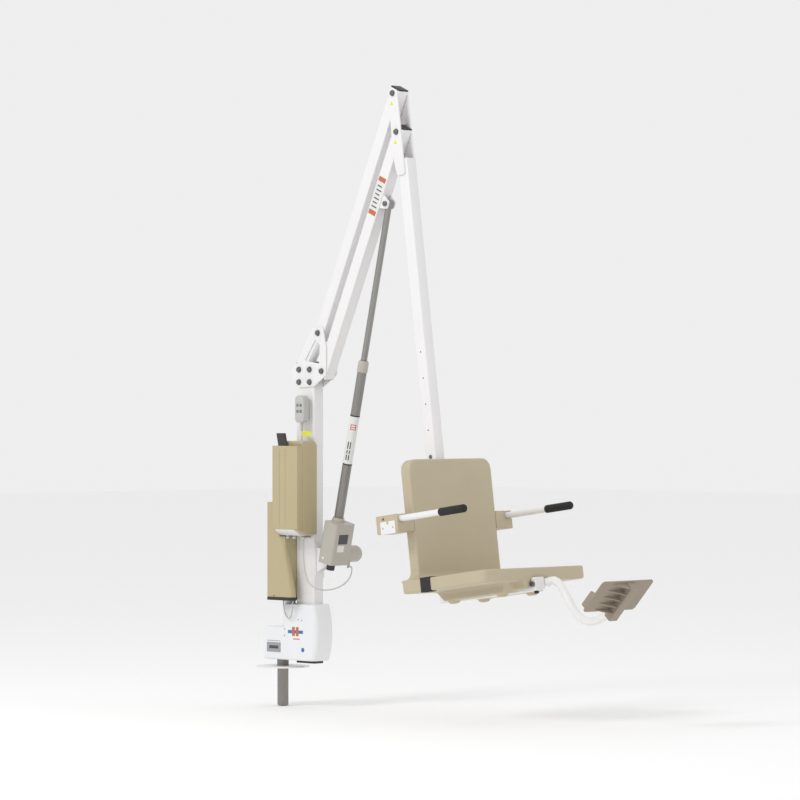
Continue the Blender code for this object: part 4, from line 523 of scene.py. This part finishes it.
# %% Control cover
def carve(obj, cutter):
    hold(obj)
    modifier = obj.modifiers.new("carve", "BOOLEAN")
    modifier.operation = "DIFFERENCE"
    modifier.solver = "EXACT"
    modifier.object = cutter
    bpy.ops.object.modifier_apply(modifier=modifier.name)
    bpy.data.objects.remove(cutter, do_unlink=True)
    return obj


lid_outline = [
    (-0.136, 0.556), (-0.13, 0.556), (-0.109, 0.5485), (-0.109, 0.600), (-0.133, 0.600), (-0.133, 0.886),
    (-0.136, 0.886),
]
crown_outline = [
    (-0.1075, 0.548), (-0.092, 0.535), (-0.0257, 0.535), (-0.0257, 0.888), (-0.034, 0.900), (-0.048, 0.905),
    (-0.1, 0.905), (-0.1075, 0.899),
]
lid = soften(outline_plate("control_lid", lid_outline, "x", 0.0825, 0.225), 1.2 * MM, 3)
for x in (0.124, 0.157):
    carve(lid, block("groove", (x - 0.0007, -0.1375, 0.57), (x + 0.0007, -0.1352, 0.875)))
crown = outline_plate("control_box_crown", crown_outline, "x", 0.0825, 0.225)
soften(crown, 5 * MM, 4, 50)
cheeks = [soften(block("control_cheek", (x, -0.1358, 0.556), (x + 0.003, -0.1, 0.886)), 1 * MM, 2)
          for x in (0.0826, 0.2219)]
control_cover = joined("control_cover_moulding", [lid, crown, *cheeks])
stand_for(paint(control_cover, tan_cover), "control_cover")
bpy.ops.object.shade_smooth_by_angle(angle=math.radians(32))
battery = soften(whole_copy("battery", "battery_with_handle"), 2 * MM, 3)
stand_for(paint(battery, battery_black), "battery")
print("control unit ready")

# %% [markdown]
# The seat is one rotational moulding: thick plastic with every edge and inside corner melted round.
# Modelling each fillet would take long, so a copy of the engineering solid is rebuilt as an even
# skin with Remesh and then smoothed, which rounds it all over just as the mould does. It is first
# turned upright, so that its flat faces lie along the grid that Remesh uses.

# %% Seat
seat = whole_copy("seat_shell", "seat_moulding")
moved(seat, hanger_place.inverted())
apply_modifier(seat, "REMESH", mode="VOXEL", voxel_size=0.005)
apply_modifier(seat, "SMOOTH", factor=0.5, iterations=9)
hold(seat)
bpy.ops.object.shade_smooth()
moved(seat, hanger_place)
stand_for(paint(seat, tan_seat), "seat_shell")
print("seat skin:", len(seat.data.polygons), "faces")

# %% [markdown]
# The armrests fold in blocks moulded in the seat's colour. Their tubes end in black foam grips,
# which are soft sleeves: slightly rough, and rounded at both ends.

# %% Armrests
ARMREST_PARTS = (
    ("armrest_block", "moulding", 1.0, tan_seat),
    ("armrest_tube", "coated", 0.5, powder_coat),
    ("armrest_grip", "foam", 0.8, foam),
)
for side in ("right", "left"):
    for part, word, width, material in ARMREST_PARTS:
        name = f"{part}_{side}"
        stand_for(paint(soften(whole_copy(name, f"{name}_{word}"), width * MM, 2), material), name)
keeper = block("armrest_keeper", (-6 * MM, -316.6 * MM, -1566 * MM), (72 * MM, -315 * MM, -1518 * MM))
for u in (6, 60):
    hole = bar("keeper_hole", 4 * MM, (u * MM, -318 * MM, -1543 * MM), (u * MM, -312 * MM, -1543 * MM), 24)
    carve(keeper, hole)
carve(keeper, block("keeper_slot", (28 * MM, -318 * MM, -1530 * MM), (38 * MM, -312 * MM, -1510 * MM)))
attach(paint(moved(soften(keeper, 0.4 * MM), hanger_place), powder_coat), "hanger")
armrest_screw = hanger_place @ Vector((12 * MM, -316 * MM, -1508 * MM))
dome_screw("armrest_screw", armrest_screw, (0, -1, 0), 5 * MM, "hanger")
print("armrests ready")

# %% [markdown]
# The belt end on the seat's edge is woven nylon. Its weave is drawn as one set of fine waves,
# which a Bump node turns into ribs.


# %% Webbing
def webbing_finish():
    made = finish("black_webbing", (0.02, 0.02, 0.02), 0.7, 500, 0.02)
    tree = made.node_tree
    place = tree.nodes.new("ShaderNodeTexCoord")
    ribs = tree.nodes.new("ShaderNodeTexWave")
    ribs.inputs["Scale"].default_value = 160
    ribs.bands_direction = "X"
    bump = tree.nodes.new("ShaderNodeBump")
    bump.inputs["Strength"].default_value = 0.6
    bump.inputs["Distance"].default_value = 0.0006
    tree.links.new(place.outputs["Object"], ribs.inputs["Vector"])
    tree.links.new(ribs.outputs["Fac"], bump.inputs["Height"])
    tree.links.new(bump.outputs["Normal"], tree.nodes["Principled BSDF"].inputs["Normal"])
    return made


strap = soften(whole_copy("seat_strap", "seat_belt_end"), 0.7 * MM, 2)
stand_for(paint(strap, webbing_finish()), "seat_strap")
print("belt end ready")

# %% [markdown]
# The footrest is a bent tube and a ribbed moulded plate. Both keep the engineering shape; the plate
# gets softer edges and the tube a smooth skin.

# %% Footrest
bent_tube = soften(whole_copy("footrest_arm", "footrest_bent_tube"), 0.5 * MM, 1, 60)
stand_for(paint(bent_tube, powder_coat), "footrest_arm")
foot_plate = soften(whole_copy("footrest_plate", "footrest_moulding"), 0.9 * MM, 2)
stand_for(paint(foot_plate, foot_moulding), "footrest_plate")
stop = bar("footrest_rubber_stop", 9 * MM, (472 * MM, 0, -1837 * MM), (472 * MM, 0, -1848 * MM), 24)
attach(paint(moved(soften(stop, 2 * MM, 3), hanger_place), black_plastic), "hanger")
print("footrest ready")

# %% [markdown]
# The actuator is a beige moulded gearbox with a motor on its far side, a grey outer tube and a
# bright rod. Two black bands and a printed sleeve go round the tube.

# %% Actuator
housing = soften(whole_copy("actuator_housing", "actuator_gearbox"), 1.5 * MM, 3)
stand_for(paint(housing, beige_moulding), "actuator_housing")


def tube_band(name, low, high, radius, material, body="actuator_body"):
    band = bar(name, radius * MM, (0, 0, low * MM), (0, 0, high * MM), 48)
    carve(band, bar("band_bore", 18.6 * MM, (0, 0, low * MM - MM), (0, 0, high * MM + MM), 48))
    soften(band, 0.1 * MM, 1)
    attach(paint(moved(band, actuator_place), material), body)
    return band


def wrapped_mark(name, low, high, across, half_width, radius, material):
    """Part of a band round the tube, on the side that faces the handset."""
    band = bar(name, radius * MM, (0, 0, low * MM), (0, 0, high * MM), 64)
    window = block("mark_window", (5 * MM, (across - half_width) * MM, low * MM - MM),
                   (30 * MM, (across + half_width) * MM, high * MM + MM))
    moved(window, Matrix.Rotation(math.radians(-45), 4, "Z"))
    apply_modifier(band, "BOOLEAN", operation="INTERSECT", solver="EXACT", object=window)
    bpy.data.objects.remove(window, do_unlink=True)
    carve(band, bar("mark_bore", 18.6 * MM, (0, 0, low * MM - MM), (0, 0, high * MM + MM), 64))
    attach(paint(moved(band, actuator_place), material), "actuator_body")
    return band


tube_band("tube_band_low", 378, 383, 19.3, black_plastic)
tube_band("tube_band_high", 573, 578, 19.3, black_plastic)
tube_band("tube_label_sleeve", 383, 573, 18.9, label_paper)
wrapped_mark("tube_ring_mark", 520, 542, 0, 11, 19.0, label_red)
wrapped_mark("tube_ring_middle", 523, 539, 0, 8, 19.1, label_paper)
wrapped_mark("tube_ring_slash", 529.5, 532.5, 0, 8.2, 19.2, label_red)
for column, across in enumerate((-9, 0)):
    for row, reach in enumerate(((398, 420), (424, 438), (443, 472))):
        wrapped_mark(f"tube_text_{column + 1}_{row + 1}", *reach, across, 2.2, 19.0, label_dark)
print("actuator dressed")

# %% [markdown]
# The handset hangs on a hook beside the mast: a small grey case with four rubber keys. The keys and
# case only need their edges softened.

# %% Handset
stand_for(paint(soften(whole_copy("handset", "handset_case"), 0.8 * MM, 2), handset_grey), "handset")
for number in range(1, 5):
    name = f"handset_button_{number}"
    stand_for(paint(soften(whole_copy(name, f"{name}_key"), 0.6 * MM, 3), key_rubber), name)
for cable in cables.values():
    paint(cable, cable_skin)
print("handset ready")

# %% [markdown]
# Labels are thin sheets that stand a fifth of a millimetre off the surface. They carry coloured
# bars and plain shapes in place of words.


# %% Labels
def label(name, low, high, material, body, frame_matrix=None):
    sheet = block(name, low, high)
    if frame_matrix:
        moved(sheet, frame_matrix)
    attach(paint(sheet, material), body)
    return sheet


label("cover_nameplate", (-0.040, -0.0504, 0.062), (0.040, -0.05, 0.101), gland_grey, "mast")
label("cover_nameplate_edge", (-0.038, -0.0505, 0.106), (0.038, -0.05, 0.1085), gland_grey, "mast")
label("cover_nameplate_bar", (-0.026, -0.0507, 0.076), (0.026, -0.0504, 0.088), label_dark, "mast")
label("cover_band", (0.082, -0.0504, 0.140), (0.168, -0.05, 0.153), label_blue, "mast")
label("cover_mark_left", (0.106, -0.0507, 0.130), (0.122, -0.0501, 0.166), label_orange, "mast")
label("cover_mark_right", (0.128, -0.0507, 0.130), (0.143, -0.0501, 0.166), label_orange, "mast")
label("cover_mark_line", (0.112, -0.0504, 0.1165), (0.150, -0.05, 0.120), label_red, "mast")
badge = bar("cover_badge", 9 * MM, (0.1672, -0.05, 0.0764), (0.1672, -0.0504, 0.0764), 48)
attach(paint(badge, label_blue), "mast")
for x, z in ((0.0622, 0.1554), (0.0622, 0.130), (0.1402, 0.1951), (0.1609, 0.1931)):
    dome_screw("cover_screw", (x, -0.05, z), (0, -1, 0), 2.5 * MM, "mast")
lower_arm = Matrix.Translation(arm_pivot) @ Matrix.Rotation(math.radians(24.3), 4, "Y")
upper_arm = Matrix.Translation(upper_pivot) @ Matrix.Rotation(math.radians(24.3), 4, "Y")


def arm_label(name, low, high, material, place, body, layer=0):
    """A sheet on an arm's control side, from (across, along) corners in millimetres."""
    face = -25.4 - 0.15 * (layer + 1)
    return label(name, (low[0] * MM, face * MM, low[1] * MM), (high[0] * MM, -25.3 * MM, high[1] * MM),
                 material, body, place)


arm_label("arm_label_paper", (-21, 668), (21, 826), label_paper, lower_arm, "lower_arm")
arm_label("arm_label_top", (-20, 806), (20, 825), label_orange, lower_arm, "lower_arm", 1)
arm_label("arm_label_foot", (-20, 669), (20, 688), label_orange, lower_arm, "lower_arm", 1)
for row in range(6):
    arm_label("arm_label_line", (-15, 700 + row * 17), (15 - 5 * (row % 2), 705 + row * 17), label_dark,
              lower_arm, "lower_arm", 1)


def warning_triangle(name, x, z, size):
    deselect()
    bpy.ops.mesh.primitive_cylinder_add(vertices=3, radius=size * MM, depth=0.3 * MM)
    sheet = bpy.context.object
    sheet.name = name
    moved(sheet, Matrix.Translation((x, -31.75 * MM, z)) @ Matrix.Rotation(math.radians(90), 4, "X"))
    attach(paint(sheet, label_yellow), "hanger")
    return sheet


warning_triangle("upper_triangle", 0.6475, 2.2165, 12)
warning_triangle("lower_triangle", 0.669, 2.0655, 12)
label("handset_tag", (0.176, -0.0632, 0.9245), (0.226, -0.0622, 0.943), label_yellow, "mast")
label("mast_cap", (0.1056, -0.0248, 1.2112), (0.206, 0.0248, 1.2165), black_plastic, "mast")
for name, place in (("lower_arm", lower_arm), ("upper_arm", upper_arm)):
    label(f"{name}_foot_plug", (-0.0219, -0.0219, -0.0257), (0.0219, 0.0219, -0.0225), black_plastic,
          name, place)
label("housing_label_dark", (0.049, -0.030, 0.066), (0.0492, 0.020, 0.105), label_dark,
      "actuator_body", actuator_place)
label("housing_label_white", (0.049, -0.030, 0.034), (0.0492, 0.006, 0.060), label_paper,
      "actuator_body", actuator_place)
for x, y in ((0.1207, -0.088), (0.1587, -0.088), (0.194, -0.073), (0.188, -0.056), (0.192, -0.040)):
    collar = bar("gland_nut", 8 * MM, (x, y, 0.5307), (x, y, 0.5225), 6)
    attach(paint(soften(collar, 0.6 * MM), gland_grey), "mast")
knob_place = actuator_place @ Vector((31 * MM, -32 * MM, -20.5 * MM))
knob_back = actuator_place @ Vector((31 * MM, -32 * MM, -41.5 * MM))
knob = bar("breather_cap", 16.5 * MM, knob_place, knob_back, 24)
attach(paint(soften(knob, 2 * MM, 3), black_plastic), "actuator_body")
print("labels on")

# %% [markdown]
# Soft studio light comes from two large lamps: a key above and to the left of the camera, and a
# weaker fill from the right. A pale floor and a white surround lift the shadows. The lamps are
# invisible sheets of light, so their size sets how soft each shadow is.

# %% Studio
bpy.ops.mesh.primitive_plane_add(size=60, location=(0.9, 0, -0.155))
floor = bpy.context.object
floor.name = "studio_floor"
paint(floor, finish("studio_paper", (0.97, 0.97, 0.97), 0.9, 50, 0.0, mottle=0.0))
world = bpy.context.scene.world or bpy.data.worlds.new("studio")
bpy.context.scene.world = world
world.use_nodes = True
world.node_tree.nodes["Background"].inputs["Color"].default_value = (1, 1, 1, 1)
world.node_tree.nodes["Background"].inputs["Strength"].default_value = 0.86


def lamp(name, place, target, size, power):
    bpy.ops.object.light_add(type="AREA", location=place)
    light = bpy.context.object
    light.name = name
    light.data.shape = "SQUARE"
    light.data.size = size
    light.data.energy = power
    light.rotation_euler = (Vector(target) - Vector(place)).to_track_quat("-Z", "Y").to_euler()
    return light


lamp("key_lamp", (0.5, -6.0, 5.5), (0.9, 0, 1), 2.0, 150)
lamp("fill_lamp", (7.0, 1.5, 3.5), (0.9, 0, 1), 3.0, 15)
bpy.context.scene.view_settings.view_transform = "Standard"
print("lights on")

# %% Update the scene
bpy.context.view_layer.update()
